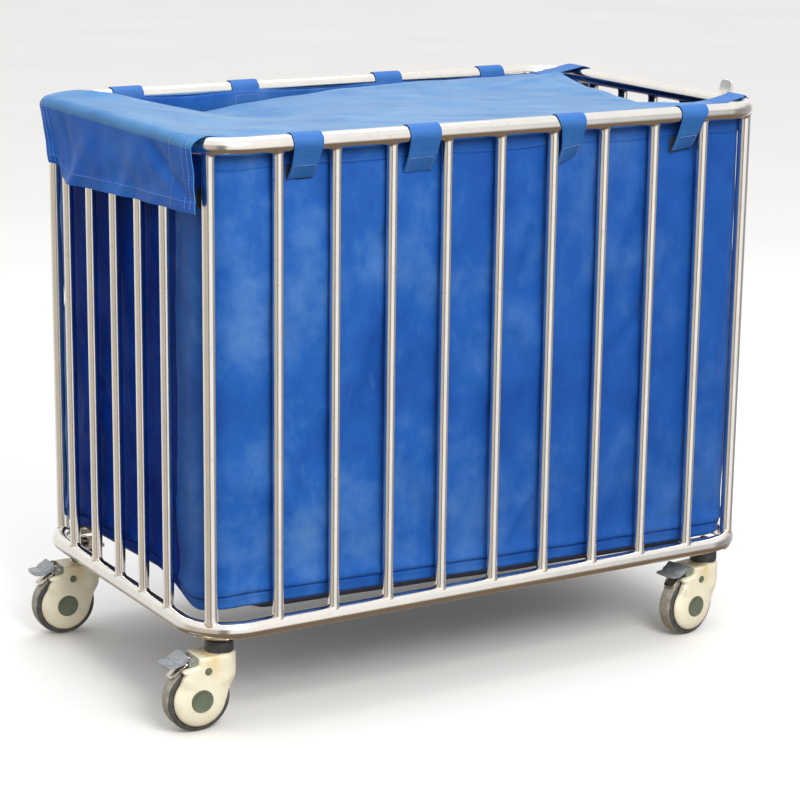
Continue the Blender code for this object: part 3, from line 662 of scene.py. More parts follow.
def housing_mesh():
    """Twin covers round the wheel, joined above it, their outer faces domed."""
    outline = housing_outline()
    body = Shape()
    side_plate(body, outline, -HOUSING_HALF, HOUSING_HALF)
    plan = Shape()
    wide = HOUSING_HALF
    plan_outline = [(-0.1, wide), (-0.1, -wide)] + arc(wide, -90.0, 90.0, 24)
    plan.add(*prism(plan_outline, -0.08, 0.10, lambda p, h: (p[0], p[1], h)))
    slot = Shape()
    slot_outline = [(0.060, -0.080), (-0.080, -0.080), (-0.080, 0.070), (-0.0043, 0.070), (-0.0043, 0.0533)]
    side_plate(slot, slot_outline + arc(0.0535, 62.0, -28.0, 18), -SLOT_HALF, SLOT_HALF)
    work = [place("work", s.mesh("work", [])) for s in (body, plan, slot)]
    for tool, operation in ((work[1], "INTERSECT"), (work[2], "DIFFERENCE")):
        step = work[0].modifiers.new("cut", "BOOLEAN")
        step.object = tool
        step.operation = operation
        step.solver = "EXACT"
    net = work[0].modifiers.new("net", "REMESH")
    net.mode = "VOXEL"
    net.voxel_size = 0.0010
    ease = work[0].modifiers.new("ease", "SMOOTH")
    ease.factor = 0.5
    ease.iterations = 5
    mesh = applied(work[0])
    for tool in work[1:]:
        bpy.data.objects.remove(tool)
    co = np.array([v.co for v in mesh.vertices], float)
    depth = outline_distance(co[:, (0, 2)], [(x - TRAIL, z) for x, z in outline])
    low = 1.0 - smooth_step((co[:, 2] - 0.014) / 0.024)
    reach = 0.006 + 0.025 * low
    most = 0.0030 + 0.0058 * low
    t = 1.0 - np.clip(depth / reach, 0.0, 1.0)
    drop = most * (1.0 - np.sqrt(np.clip(1.0 - t * t, 0.0, 1.0)))
    outer = np.clip((np.abs(co[:, 1]) - SLOT_HALF) / (HOUSING_HALF - SLOT_HALF), 0.0, 1.0)
    co[:, 1] -= np.sign(co[:, 1]) * outer * drop
    mesh.vertices.foreach_set("co", co.ravel())
    mesh.update()
    mesh.materials.clear()
    mesh.materials.append(CREAM)
    mesh.shade_smooth()
    return mesh


def cap_mesh(name, radius, x, z, sink=0.0):
    """Pair of round caps seated on the covers' outer faces, each with a raised rim."""
    face = HOUSING_HALF - sink
    profile = [(0.0004, face + 0.0014), (radius * 0.55, face + 0.0015), (radius - 0.0022, face + 0.0014),
               (radius - 0.0018, face + 0.0017), (radius - 0.0010, face + 0.0017),
               (radius - 0.0003, face + 0.0011), (radius, face + 0.0004), (radius, face - 0.0040)]
    shape = Shape()
    for side in (-1.0, 1.0):
        lathe(shape, profile, 48, lambda px, py, pz: (x + px, side * pz, z + py))
    return shape.mesh(name, [CAP])


def tyre_mesh():
    """Soft tyre with rounded shoulders and a fine line moulded near its inner edge."""
    outer = 0.0495
    half = [(0.0330, 0.0105), (0.0372, 0.0112), (0.0376, 0.0107), (0.0380, 0.0112), (0.0420, 0.0120),
            (0.0450, 0.0122), (0.0472, 0.0116), (0.0486, 0.0102), (0.0493, 0.0084), (outer, 0.0060),
            (outer + 0.0001, 0.0)]
    profile = half + [(r, -w) for r, w in reversed(half[:-1])]
    shape = Shape()
    lathe(shape, profile, 96, along_y)
    return shape.mesh("tyre", [TYRE])


def core_mesh():
    """Wheel centre between the bearings and the tyre, with its two dished faces."""
    half = [(0.0042, 0.0112), (0.0098, 0.0112), (0.0116, 0.0080), (0.0180, 0.0062), (0.0280, 0.0066),
            (0.0318, 0.0100), (0.0332, 0.0106)]
    profile = half + [(r, -w) for r, w in reversed(half)]
    shape = Shape()
    lathe(shape, profile, 64, along_y)
    return shape.mesh("core", [CORE])


def surface_slab(shape, top, bottom):
    """Closed solid between two grids of points of the same size."""
    rows, columns = len(top), len(top[0])
    count = rows * columns
    verts = [p for row in top for p in row] + [p for row in bottom for p in row]
    faces = grid_faces(rows, columns)
    faces += [tuple(count + i for i in face[::-1]) for face in grid_faces(rows, columns)]
    edge = [*range(columns), *(r * columns + columns - 1 for r in range(1, rows))]
    edge += [(rows - 1) * columns + c for c in range(columns - 2, -1, -1)]
    edge += [r * columns for r in range(rows - 2, 0, -1)]
    faces += [(a, b, count + b, count + a) for a, b in zip(edge, edge[1:] + edge[:1])]
    shape.add(verts, faces)


def pedal_mesh():
    """Foot pedal in two tiers with a crest, lobed at its outer edge; from the wheel's centre."""
    stations = [(-0.0530, 0.0566, 0.0552, 0.0150), (-0.0525, 0.0573, 0.0546, 0.0172),
                (-0.0514, 0.0577, 0.0543, 0.0189), (-0.0484, 0.0579, 0.0542, 0.0203),
                (-0.0430, 0.0580, 0.0543, 0.0209), (-0.0390, 0.0581, 0.0545, 0.0209),
                (-0.0374, 0.0583, 0.0546, 0.0206), (-0.0367, 0.0594, 0.0547, 0.0200),
                (-0.0360, 0.0611, 0.0548, 0.0197), (-0.0351, 0.0621, 0.0550, 0.0196),
                (-0.0335, 0.0628, 0.0553, 0.0197), (-0.0300, 0.0640, 0.0560, 0.0200),
                (-0.0262, 0.0660, 0.0576, 0.0203), (-0.0230, 0.0684, 0.0600, 0.0204),
                (-0.0210, 0.0697, 0.0618, 0.0203), (-0.0196, 0.0694, 0.0632, 0.0200)]
    columns = 33
    top, bottom = [], []
    for i, (x, high, low, half) in enumerate(stations):
        outward = math.exp(-i / 3.0)
        brow = 0.8 * math.exp(-((x + 0.0358) / 0.0016) ** 2)
        upper, lower = [], []
        for j in range(columns):
            s = 2.0 * j / (columns - 1) - 1.0
            px = x + 0.0026 * s * s * outward + 0.0016 * math.cos(2.0 * math.pi * s) * brow
            rim = max(abs(s) - 0.86, 0.0) / 0.14
            upper.append((px - TRAIL, s * half, high - 0.0011 * rim ** 2 + 0.0004 * math.cos(math.pi * s)))
            lower.append((px - TRAIL, s * half, low + 0.0006 * rim ** 2))
        top.append(upper)
        bottom.append(lower)
    shape = Shape()
    surface_slab(shape, top, bottom)
    ring = rounded_rectangle(0.0026, 0.0115, 0.0025, 6)
    loop_tube(shape, [(px - TRAIL - 0.0308, py, 0.0640 + 0.34 * px) for px, py in ring], 0.0005, 8)
    ring = rounded_rectangle(0.0048, 0.0150, 0.0045, 6)
    loop_tube(shape, [(px - TRAIL - 0.0444, py, 0.0580) for px, py in ring], 0.0005, 8)
    arm = [(-0.0240, 0.0558), (-0.0240, 0.0636), (-0.0160, 0.0640), (-0.0095, 0.0636), (-0.0078, 0.0615),
           (-0.0080, 0.0576), (-0.0100, 0.0562), (-0.0160, 0.0556)]
    for low, high in ((-0.0128, -0.0109), (0.0109, 0.0128)):
        side_plate(shape, arm, low, high)
    pin = [(0.0006, 0.0128), (0.0024, 0.0128), (0.0025, 0.0126), (0.0025, -0.0126), (0.0024, -0.0128),
           (0.0006, -0.0128)]
    lathe(shape, pin, 20, lambda x, y, z: (x - TRAIL + PIN_X, z, PIN_Z - y))
    mesh = shape.mesh("pedal", [PEDAL])
    return bevelled(mesh, 0.0005, 2, 40.0)


def cheek_mesh():
    """Rounded bracket cheeks on both sides of the brake pin."""
    outline = [(-0.0025, 0.0500), (-0.0025, 0.0628), (-0.0090, 0.0655), (-0.0150, 0.0650), (-0.0180, 0.0612),
               (-0.0186, 0.0560), (-0.0172, 0.0505)]
    shape = Shape()
    for low, high in ((-0.0176, -0.0131), (0.0131, 0.0176)):
        side_plate(shape, outline, low, high)
    mesh = bevelled(shape.mesh("cheek", [CHEEK]), 0.0010, 3)
    heads = Shape()
    for side in (-1.0, 1.0):
        head = [(0.0003, 0.0183), (0.0018, 0.0182), (0.0026, 0.0179), (0.0028, 0.0172)]
        lathe(heads, head, 20, lambda x, y, z: (x - TRAIL + PIN_X, side * (z - 0.0006), PIN_Z + y))
    return mesh, heads.mesh("pin_heads", [TONGUE_STEEL])


def tongue_mesh():
    """Curved brake tongue over the tread, its free end turned up and its corners rounded."""
    rows, columns = 22, 13
    top, bottom = [], []
    for i in range(rows):
        t = i / (rows - 1)
        a = math.radians(104.0 + 36.0 * t)
        lift = 0.0012 * max(t - 0.80, 0.0) / 0.20
        corner = max(t - 0.86, 0.0) / 0.14
        half = 0.0105 - 0.0030 * corner ** 2 - 0.0015 * (1.0 - t)
        upper, lower = [], []
        for j in range(columns):
            s = 2.0 * j / (columns - 1) - 1.0
            rib = 0.0005 * math.exp(-(s / 0.25) ** 2)
            for points, r in ((upper, 0.0548 + lift + rib), (lower, 0.0526 + lift)):
                points.append((r * math.cos(a) - TRAIL, s * half, r * math.sin(a)))
        top.append(upper)
        bottom.append(lower)
    shape = Shape()
    surface_slab(shape, top, bottom)
    eye = arc(0.0046, -30.0, 210.0, 14, (PIN_X, PIN_Z)) + [(-0.0168, 0.0535), (-0.0120, 0.0528)]
    for low, high in ((-0.0088, -0.0066), (0.0066, 0.0088)):
        side_plate(shape, eye, low, high)
    return bevelled(shape.mesh("tongue", [TONGUE_STEEL]), 0.0004, 2, 40.0)


def collar_mesh():
    """Ribbed swivel collar with a bright washer under it, and the neck above."""
    low = AXLE_Z + HOUSING_TOP + 0.0003
    profile = [(0.0090, low + 0.0016), (0.0198, low + 0.0016), (0.0208, low + 0.0022),
               (0.0212, low + 0.0036), (0.0213, low + 0.0140), (0.0209, low + 0.0162),
               (0.0196, low + 0.0178), (0.0110, low + 0.0180)]
    ribs = (3, 4)
    shape = Shape()
    lathe(shape, profile, 144, None, lambda i, k: 0.0002 * (1 if k % 3 else -2) if i in ribs else 0.0)
    mesh = shape.mesh("collar", [COLLAR], 50.0)
    bright = Shape()
    lathe(bright, [(0.0070, low), (0.0208, low), (0.0213, low + 0.0005), (0.0213, low + 0.0012),
                   (0.0206, low + 0.0016), (0.0070, low + 0.0016)], 64)
    neck = low + 0.0180
    lathe(bright, [(0.0070, neck), (0.0094, neck + 0.0002), (0.0088, neck + 0.0014),
                   (0.0088, PLATE_BOTTOM - 0.0016), (0.0096, PLATE_BOTTOM - 0.0003),
                   (0.0070, PLATE_BOTTOM - 0.0002)], 40)
    return mesh, bright.mesh("neck", [BAR_STEEL])


def nut_mesh():
    """Hexagon nut on the stem's threaded end, above the plate."""
    shape = Shape()
    hexagon = arc(0.0094, 0.0, 300.0, 5)
    shape.add(*prism(hexagon, PLATE_TOP + 0.0003, PLATE_TOP + 0.0068, lambda p, h: (p[0], p[1], h)))
    mesh = bevelled(shape.mesh("nut", [PLATE_STEEL]), 0.0008, 2)
    thread = Shape()
    lathe(thread, [(0.0058 if i % 2 else 0.0052, PLATE_TOP + 0.0062 + 0.00026 * i) for i in range(15)], 32)
    return mesh, thread.mesh("thread", [PLATE_STEEL])


def build_casters():
    hub = cap_mesh("hub_caps", 0.0170, -TRAIL, 0.0, 0.0003)
    small = cap_mesh("small_caps", 0.0056, -TRAIL + 0.0097, 0.0434)
    cheeks, heads = cheek_mesh()
    collar, neck = collar_mesh()
    nut, thread = nut_mesh()
    pieces = (
        ("housing", housing_mesh(), "swivel", "housing_plastic", "caster_housing"),
        ("hub_caps", hub, "swivel", "cap_plastic", "caster_axle"),
        ("small_caps", small, "swivel", "cap_plastic", None),
        ("brake_cheeks", cheeks, "swivel", "cap_plastic", None),
        ("pin_heads", heads, "swivel", "tongue_steel", None),
        ("tyre", tyre_mesh(), "wheel", "tyre_rubber", "caster_wheel"),
        ("wheel_core", core_mesh(), "wheel", "cap_plastic", None),
        ("pedal", pedal_mesh(), "pedal", "pedal_plastic", "brake_pedal"),
        ("tongue", tongue_mesh(), "shoe", "tongue_steel", "brake_shoe"),
        ("collar", collar, "root", "collar_plastic", "caster_stem"),
        ("neck", neck, "root", "bar_steel", None),
        ("nut", nut, "root", "bar_steel", None),
        ("stem_thread", thread, "root", "bar_steel", None),
    )
    for name, (sx, sy, degrees) in CASTERS.items():
        stand = Matrix.Translation((SHIFT + sx * CASTER_X, sy * CASTER_Y, 0.0))
        turn = Matrix.Rotation(math.radians(degrees), 4, "Z")
        swivel = stand @ Matrix.Translation((0.0, 0.0, AXLE_Z)) @ turn
        wheel = swivel @ Matrix.Translation((-TRAIL, 0.0, 0.0))
        for piece, mesh, body, slot, node in pieces:
            matrix = {"root": stand, "wheel": wheel}.get(body, swivel)
            place(f"{name}_{piece}", mesh, body if body == "root" else f"{name}_{body}", slot,
                  [f"{name}_{node}"] if node else (), matrix)


# ---------------------------------------------------------------- soft goods

def along_profile(value, stops):
    """Straight-line reading of (place, height) stops."""
    places, heights = zip(*stops)
    return np.interp(value, places, heights)


def run_of(path):
    """Length along a path at each of its points."""
    return np.concatenate([[0.0], np.cumsum(np.linalg.norm(np.diff(path, axis=0), axis=1))])


def unfold(mesh, coordinates):
    """Cloth coordinates, in metres, for the weave."""
    layer = mesh.uv_layers.new(name="cloth")
    corners = np.zeros(len(mesh.loops), np.int32)
    mesh.loops.foreach_get("vertex_index", corners)
    layer.data.foreach_set("uv", np.array(coordinates, np.float32)[corners].ravel())


STITCH_SIDES = 5
STITCH_PROFILE = (       # share of the stitch's length, share of its radius, rise off the cloth
    (0.0, 0.35, 0.2), (0.25, 1.0, 0.7), (0.75, 1.0, 0.7), (1.0, 0.35, 0.2),
)


def stitches(shape, path, normal, pitch=0.0048, length=0.0034, radius=0.00042):
    """Row of thread stitches along a path, each a slim spindle lying on the cloth."""
    path = np.array(path, float)
    normal = np.broadcast_to(np.array(normal, float), path.shape)
    run = run_of(path)

    def reading(place, columns):
        return np.array([np.interp(place, run, columns[:, c]) for c in range(3)])

    for middle in np.arange(pitch / 2, run[-1] - pitch / 2, pitch):
        start, end = reading(middle - length / 2, path), reading(middle + length / 2, path)
        up = reading(middle, normal)
        up /= np.linalg.norm(up)
        along = end - start
        side = np.cross(along / np.linalg.norm(along), up)
        verts = []
        for t, share, rise in STITCH_PROFILE:
            centre = start + t * along + up * radius * rise
            verts += [centre + radius * share * (c * side + s * up) for c, s in around(STITCH_SIDES)]
        shape.add(verts, tube_faces(len(STITCH_PROFILE), STITCH_SIDES))


LONG_STEPS = 120
SHORT_STEPS = 56
CORNER_STEPS = 12
HALF_ROUND = 2 * (CORNER_STEPS + 1) + LONG_STEPS - 1
SHADE_SHORT = 7          # columns by which the painted shade of the left end stops short of the front corner
# Columns of both end walls, which take the painted-shade end cloth.
SHADED_END_COLUMNS = [*range(HALF_ROUND - 1, HALF_ROUND + SHORT_STEPS - SHADE_SHORT),
              *range(2 * HALF_ROUND + SHORT_STEPS - 2, 2 * HALF_ROUND + 2 * SHORT_STEPS - 2)]


def bag_ring(inset):
    """(x, y, outward x, outward y) round the bag, the same number of points for any inset."""
    hx, hy = BAG_X - inset, BAG_Y - inset
    r = max(BAG_CORNER - inset, 0.006)
    ring = []
    for quarter, (sx, sy) in enumerate(QUARTERS):
        for k in range(CORNER_STEPS + 1):
            a = math.radians(90.0 * (quarter + k / CORNER_STEPS))
            ring.append((sx * (hx - r) + r * math.cos(a), sy * (hy - r) + r * math.sin(a),
                         math.cos(a), math.sin(a)))
        x, y, nx, ny = ring[-1]
        far = (-x, y) if quarter % 2 == 0 else (x, -y)
        steps = LONG_STEPS if quarter % 2 == 0 else SHORT_STEPS
        for k in range(1, steps):
            t = k / steps
            ring.append((x + (far[0] - x) * t, y + (far[1] - y) * t, nx, ny))
    return np.array(ring)


FRONT_LOW = [(-0.409, 0.1825), (-0.21, 0.1785), (0.0, 0.1725), (0.247, 0.1685), (0.325, 0.1665),
             (0.400, 0.1655), (0.463, 0.1650)]
LEFT_LOW = [(-0.2125, 0.1735), (-0.190, 0.1790), (-0.150, 0.1910), (-0.100, 0.2015), (-0.060, 0.2030),
            (0.0, 0.2000), (0.080, 0.1975), (0.150, 0.1955), (0.2125, 0.1845)]
CORNER_LOW = [(-0.463, 0.1735), (-0.460, 0.1745), (-0.456, 0.1765), (-0.444, 0.1800), (-0.427, 0.1818),
              (-0.409, 0.1825)]


def bag_low(x, y):
    """Height of the bag's lower edge."""
    if x > -(BAG_X - BAG_CORNER):
        return along_profile(x, FRONT_LOW)
    if y > 0.2125:
        return 0.1845 - 0.002 * smooth_step((x + 0.463) / 0.054)
    if y < -0.2125:
        return along_profile(x, CORNER_LOW)
    return along_profile(y, LEFT_LOW)


def bag_high(x, y):
    """Height of the bag's upper edge, sagging between the straps and low at the right end."""
    spots = STRAP_X if abs(y) > 0.2 else ()
    near = min([abs(x - s) for s in spots] + [0.10])
    sag = 0.003 * smooth_step((near - 0.025) / 0.07) if spots else 0.0
    dip = 0.0345 * smooth_step((0.198 - abs(y)) / 0.045) if x > BAG_X - 0.03 else 0.0
    level = 0.8410 if y > 0.2 else 0.8375
    return level - sag - dip


TURN = 0.006
BELLY = [(0.006, 0.0), (0.010, 0.0060), (0.015, 0.0105), (0.022, 0.0135), (0.033, 0.0160), (0.050, 0.0170),
         (0.110, 0.0150), (0.250, 0.0110)]
STRAP_X = (-0.333, -0.128, 0.128, 0.340)


LAID_FOLDS = (
    ("front", (0.445, 0.205), (0.360, 0.360), 0.011, 0.0046),
    ("front", (0.455, 0.600), (0.405, 0.300), 0.014, -0.0046),
    ("front", (0.300, 0.200), (0.380, 0.270), 0.010, 0.0038),
    ("front", (0.200, 0.220), (0.270, 0.330), 0.012, 0.0022),
    ("front", (0.440, 0.780), (0.400, 0.700), 0.010, 0.0024),
    ("front", (-0.400, 0.600), (-0.350, 0.720), 0.016, 0.0022),
    ("left", (-0.200, 0.220), (-0.090, 0.460), 0.020, 0.0050),
    ("left", (0.040, 0.800), (-0.030, 0.420), 0.022, 0.0042),
    ("left", (-0.160, 0.760), (-0.110, 0.500), 0.018, 0.0036),
)


def wall_folds():
    """Fixed set of shallow folds: wall, start, end, width and depth."""
    draw = random.Random(41)
    folds = []
    for wall, reach, number in (("front", BAG_X, 26), ("back", BAG_X, 26), ("left", BAG_Y, 12),
                                ("right", BAG_Y, 12)):
        for _ in range(number):
            s = draw.uniform(-reach, reach)
            z = draw.uniform(0.20, 0.74)
            lean = draw.uniform(-0.9, 0.9)
            length = draw.uniform(0.07, 0.22)
            width = draw.uniform(0.008, 0.018)
            depth = draw.choice((-1.0, 1.0, 1.0)) * draw.uniform(0.0024, 0.0060)
            end = (s + length * math.sin(lean), z + length * math.cos(lean))
            folds.append((wall, (s, z), end, width, depth))
    return folds + list(LAID_FOLDS)


def wall_shift(x, y, nx, ny, z, folds):
    """How far the wall stands out from its flat place, in metres."""
    low, high = bag_low(x, y), bag_high(x, y)
    t = (z - low) / (high - low)
    ease = math.sin(math.pi * min(max(t, 0.0), 1.0)) ** 0.6
    shift = 0.0080 * noise.noise(Vector((x * 5.5, y * 5.5, z * 3.2))) * ease
    shift += 0.0016 * noise.noise(Vector((x * 17.0 + 3.0, y * 17.0, z * 11.0)))
    ridged = 1.0 - abs(noise.noise(Vector((x * 9.0 + z * 4.0, y * 9.0 - z * 3.0, z * 6.0 + 7.0))))
    shift += 0.0036 * (ridged ** 6 - 0.30) * ease
    wall = ("front" if ny < -0.7 else "back" if ny > 0.7 else
            "left" if nx < -0.7 else "right" if nx > 0.7 else "")
    s = x if wall in ("front", "back") else y
    for name, a, b, width, depth in folds:
        if name != wall or abs(s - (a[0] + b[0]) / 2) > 0.20:
            continue
        dx, dz = b[0] - a[0], b[1] - a[1]
        part = ((s - a[0]) * dx + (z - a[1]) * dz) / (dx * dx + dz * dz)
        held = min(max(part, 0.0), 1.0)
        away = math.hypot(s - a[0] - held * dx, z - a[1] - held * dz)
        shift += depth * math.exp(-(away / width) ** 2) * (0.35 + 0.65 * math.sin(math.pi * held))
    if wall in ("front", "back"):
        for spot in STRAP_X:
            dx, dz = s - spot, z - 0.815
            far = math.hypot(dx, dz)
            if far < 0.2:
                rays = math.cos(5.0 * math.atan2(dx, -dz)) * min(far / 0.02, 1.0)
                shift += 0.0016 * rays * math.exp(-far / 0.055)
    seam = z - low - 0.019
    shift -= 0.0044 * math.exp(-(seam / 0.0018) ** 2)
    shift += 0.0040 * math.exp(-(seam - 0.007) ** 2 / 0.00012)
    shift -= 0.0010 * math.exp(-((seam + 0.009) / 0.006) ** 2)
    ruffle = 0.0016 * smooth_step((x + 0.1) / 0.4) * math.exp(-((seam + 0.009) / 0.010) ** 2)
    shift += ruffle * math.sin(x * 95.0 + 3.0 * noise.noise(Vector((x * 20.0, 0.0, 0.0))))
    corner = 4.0 * nx * nx * ny * ny
    if nx > 0.0 and ny < 0.0:
        shift += 0.0016 * corner * smooth_step((z - 0.35) / 0.2)
    return min(max(shift, -0.009), 0.0052 - 0.0036 * corner)


FLOOR_INSETS = (0.250, 0.200, 0.150, 0.110, 0.075, 0.050, 0.033, 0.022, 0.015, 0.010)
FOOT_HEIGHTS = (0.004, 0.008, 0.0105, 0.0120, 0.0130, 0.0140, 0.0155, 0.0180, 0.0220, 0.0280)
HEM_DROPS = (0.0285, 0.0275, 0.022, 0.015, 0.009, 0.004, 0.0012, 0.0)
WALL_START = 0.034       # height of the wall's rows over the rounded lower edge
TURN_ROWS = 6
FLOOR_ROWS = 11          # rows of faces, from the middle, in the near-black floor cloth: painted shade


def bag_rows():
    """(inset, kind, value) of every row of the bag, from the middle of its floor to its upper edge."""
    rows = [(inset, "floor", inset) for inset in FLOOR_INSETS]
    for k in range(1, TURN_ROWS + 1):
        a = math.radians(90.0 * k / TURN_ROWS)
        rows.append((TURN * (1.0 - math.sin(a)), "turn", TURN * (1.0 - math.cos(a))))
    rows += [(0.0, "foot", height) for height in FOOT_HEIGHTS]
    rows += [(0.0, "wall", share) for share in np.linspace(0.0, 1.0, 52)]
    return rows + [(0.0, "hem", drop) for drop in HEM_DROPS]


def floor_height(x, y, low, inset):
    """Height of the sagging floor, held up by the caster plates at its corners."""
    over_plate = smooth_step((abs(x) - 0.36) / 0.045) * smooth_step((abs(y) - 0.17) / 0.045)
    sag = along_profile(inset, BELLY) * (1.0 - 0.72 * over_plate)
    ripple = 0.002 * noise.noise(Vector((x * 8.0, y * 8.0, 0.0)))
    return low + 0.0005 - sag + ripple * (1.0 if inset > 0.03 else 0.3)


def build_bag():
    """Bag as one sagging shell of cloth: sewn floor, rounded lower edge, walls and a doubled hem."""
    folds = wall_folds()
    run = run_of(bag_ring(0.0)[:, :2])
    outer, inner, flat = [], [], []
    for inset, kind, value in bag_rows():
        out_row, in_row = [], []
        for (x, y, nx, ny), u in zip(bag_ring(inset), run):
            low, high = bag_low(x, y), bag_high(x, y)
            half = CLOTH / 2
            if kind == "floor":
                z = floor_height(x, y, low, inset)
                out_row.append((x + SHIFT, y, z - half))
                in_row.append((x + SHIFT, y, z + half))
                flat.append((x, y))
                continue
            tilt = 1.0
            if kind == "turn":
                z = low + value
                tilt = 1.0 - inset / TURN
            elif kind == "foot":
                z = low + TURN + value
            elif kind == "wall":
                foot = low + TURN + WALL_START
                z = foot + (high - HEM_DROPS[0] - foot) * value
            else:
                z = high - value
            shift = wall_shift(x, y, nx, ny, z, folds) * tilt
            if kind == "hem":
                shift *= 0.6
                half += 0.0007 if value < 0.028 else 0.0
                half *= 0.4 if value == 0.0 else 1.0
            up = half * (1.0 - tilt)
            px, py = x + nx * shift + SHIFT, y + ny * shift
            out_row.append((px + nx * half * tilt, py + ny * half * tilt, z - up))
            in_row.append((px - nx * half * tilt, py - ny * half * tilt, z + up))
            flat.append((u, z))
        outer.append(out_row)
        inner.append(in_row)
    count = len(outer[0])
    total = len(outer) * count
    verts = [p for row in outer + inner for p in row]
    faces = grid_faces(len(outer), count, True)
    # End wall columns take the painted-shade end cloth.
    painted_shade_columns = set(SHADED_END_COLUMNS)
    # Floor rows take the near-black floor cloth: painted shade under the bag.
    finish = [1 if i // count < FLOOR_ROWS else 2 if i % count in painted_shade_columns else 0 for i in range(len(faces))]
    inside = [tuple(total + i for i in face[::-1]) for face in faces]
    edge = [(total - count + c, total - count + (c + 1) % count) for c in range(count)]
    rim = [(a, b, total + b, total + a) for a, b in edge]
    shape = Shape()
    shape.add(verts, faces + inside + rim)
    shape.finish = finish + finish + [0] * len(rim)
    for base, cloth in ((0, 1), (total, 0)):
        shape.faces.append(tuple(base + c for c in range(count)))
        shape.finish.append(cloth)
    mesh = shape.mesh("bag_shell", [BAG_CLOTH, FLOOR_SHADE_CLOTH, END_SHADE_CLOTH], 50.0)
    unfold(mesh, flat + flat)
    place("bag_shell", mesh, "root", "bag_fabric", ["bag"])
    build_bag_seams(folds)


WALL_NORMALS = {"front": (0.0, -1.0), "back": (0.0, 1.0), "left": (-1.0, 0.0), "right": (1.0, 0.0)}


def hem_line(wall, reach, folds, side):
    """Path of the hem's seam along a wall, outside (side 1) or inside (side -1), with its normal."""
    nx, ny = WALL_NORMALS[wall]
    path = []
    for s in np.linspace(-reach, reach, 240):
        x, y = (s, ny * BAG_Y) if nx == 0.0 else (nx * BAG_X, s)
        z = bag_high(x, y) - 0.0245
        shift = wall_shift(x, y, nx, ny, z, folds) * 0.6 + side * (CLOTH / 2 + 0.0007)
        path.append((x + nx * shift + SHIFT, y + ny * shift, z))
    return path, (side * nx, side * ny, 0.0)


def build_bag_seams(folds):
    thread = Shape()
    for wall, (nx, _) in WALL_NORMALS.items():
        reach = (BAG_X if nx == 0.0 else BAG_Y) - BAG_CORNER
        for side in (1.0, -1.0):
            stitches(thread, *hem_line(wall, reach, folds, side))
    place("bag_hem_stitches", thread.mesh("bag_hem_stitches", [DARK_THREAD]), "root", "bag_fabric")


STRAP_THICKNESS = 0.0014
STRAP_COLUMNS = 11
STRAP_FLAT = 0.004       # width of cloth, on the flat, for each column of a strap


def build_ribbon(name, stations):
    """Strap of webbing through stations of (left point, right point, normal, extra thickness)."""
    shape = Shape()
    top, bottom, flat = [], [], []
    shares = [j / (STRAP_COLUMNS - 1) for j in range(STRAP_COLUMNS)]
    for left, right, normal, extra in stations:
        left, right, normal = np.array(left), np.array(right), np.array(normal)
        upper, lower = [], []
        for share in shares:
            rim = 1.0 - 0.45 * max(abs(2.0 * share - 1.0) - 0.8, 0.0) / 0.2
            middle = left + (right - left) * share
            upper.append(middle + normal * (STRAP_THICKNESS / 2 + extra) * rim)
            lower.append(middle - normal * STRAP_THICKNESS / 2 * rim)
        top.append(upper)
        bottom.append(lower)
    surface_slab(shape, top, bottom)
    for grid in (top, bottom):
        for length in run_of(np.array(grid)[:, STRAP_COLUMNS // 2]):
            flat += [(STRAP_FLAT * STRAP_COLUMNS * share, length) for share in shares]
    mesh = shape.mesh(name, [STRAP_CLOTH], 60.0)
    unfold(mesh, flat)
    place(name, mesh, "root", "bag_fabric")


STRAP_DROP = 0.050       # how far a strap with an even end hangs below the rail's centre
OVER_THE_TOP = 18        # number of the station where a strap leaves the top of the rail
HEM_STATION = 31         # first station of a strap's doubled end
SEAM_STATION = 32


def strap_profile():
    """(outward, height, outward normal) of a strap from the bag's inside, over the rail, to the wall."""
    reach = RAIL_RADIUS + STRAP_THICKNESS
    points = [(-0.0178, -0.040, (-1.0, 0.0)), (-0.0176, -0.030, (-1.0, 0.0)),
              (-0.0170, -0.018, (-1.0, 0.05)), (-0.0158, -0.008, (-1.0, 0.1))]
    for a in np.linspace(172.0, -24.0, 22):
        c, s = math.cos(math.radians(a)), math.sin(math.radians(a))
        points.append((reach * c, reach * s, (c, s)))
    start = np.array(points[-1][:2])
    direction = np.array((-0.0118, -STRAP_DROP)) - start
    normal = np.array((-direction[1], direction[0])) / np.linalg.norm(direction)
    for t in np.linspace(0.08, 1.0, 13):
        p = start + direction * t + normal * 0.0022 * math.sin(math.pi * t)
        points.append((p[0], p[1], tuple(normal)))
    return points


def on_strap(station, share, lift):
    """Point over a strap's face at a share of its width."""
    left, right, normal = (np.array(part) for part in station[:3])
    return left + (right - left) * share + normal * lift


def velcro_patch(name, layers, point):
    """Patch of hook-and-loop tape between two layers, each laid out by point(across, up, layer)."""
    patch = Shape()
    surface_slab(patch, *([[point(across, up, layer) for across in np.linspace(0.0, 1.0, 9)]
                           for up in np.linspace(0.0, 1.0, 6)] for layer in layers))
    place(name, bevelled(patch.mesh("velcro", [VELCRO]), 0.0004, 2), "root", "bag_fabric")


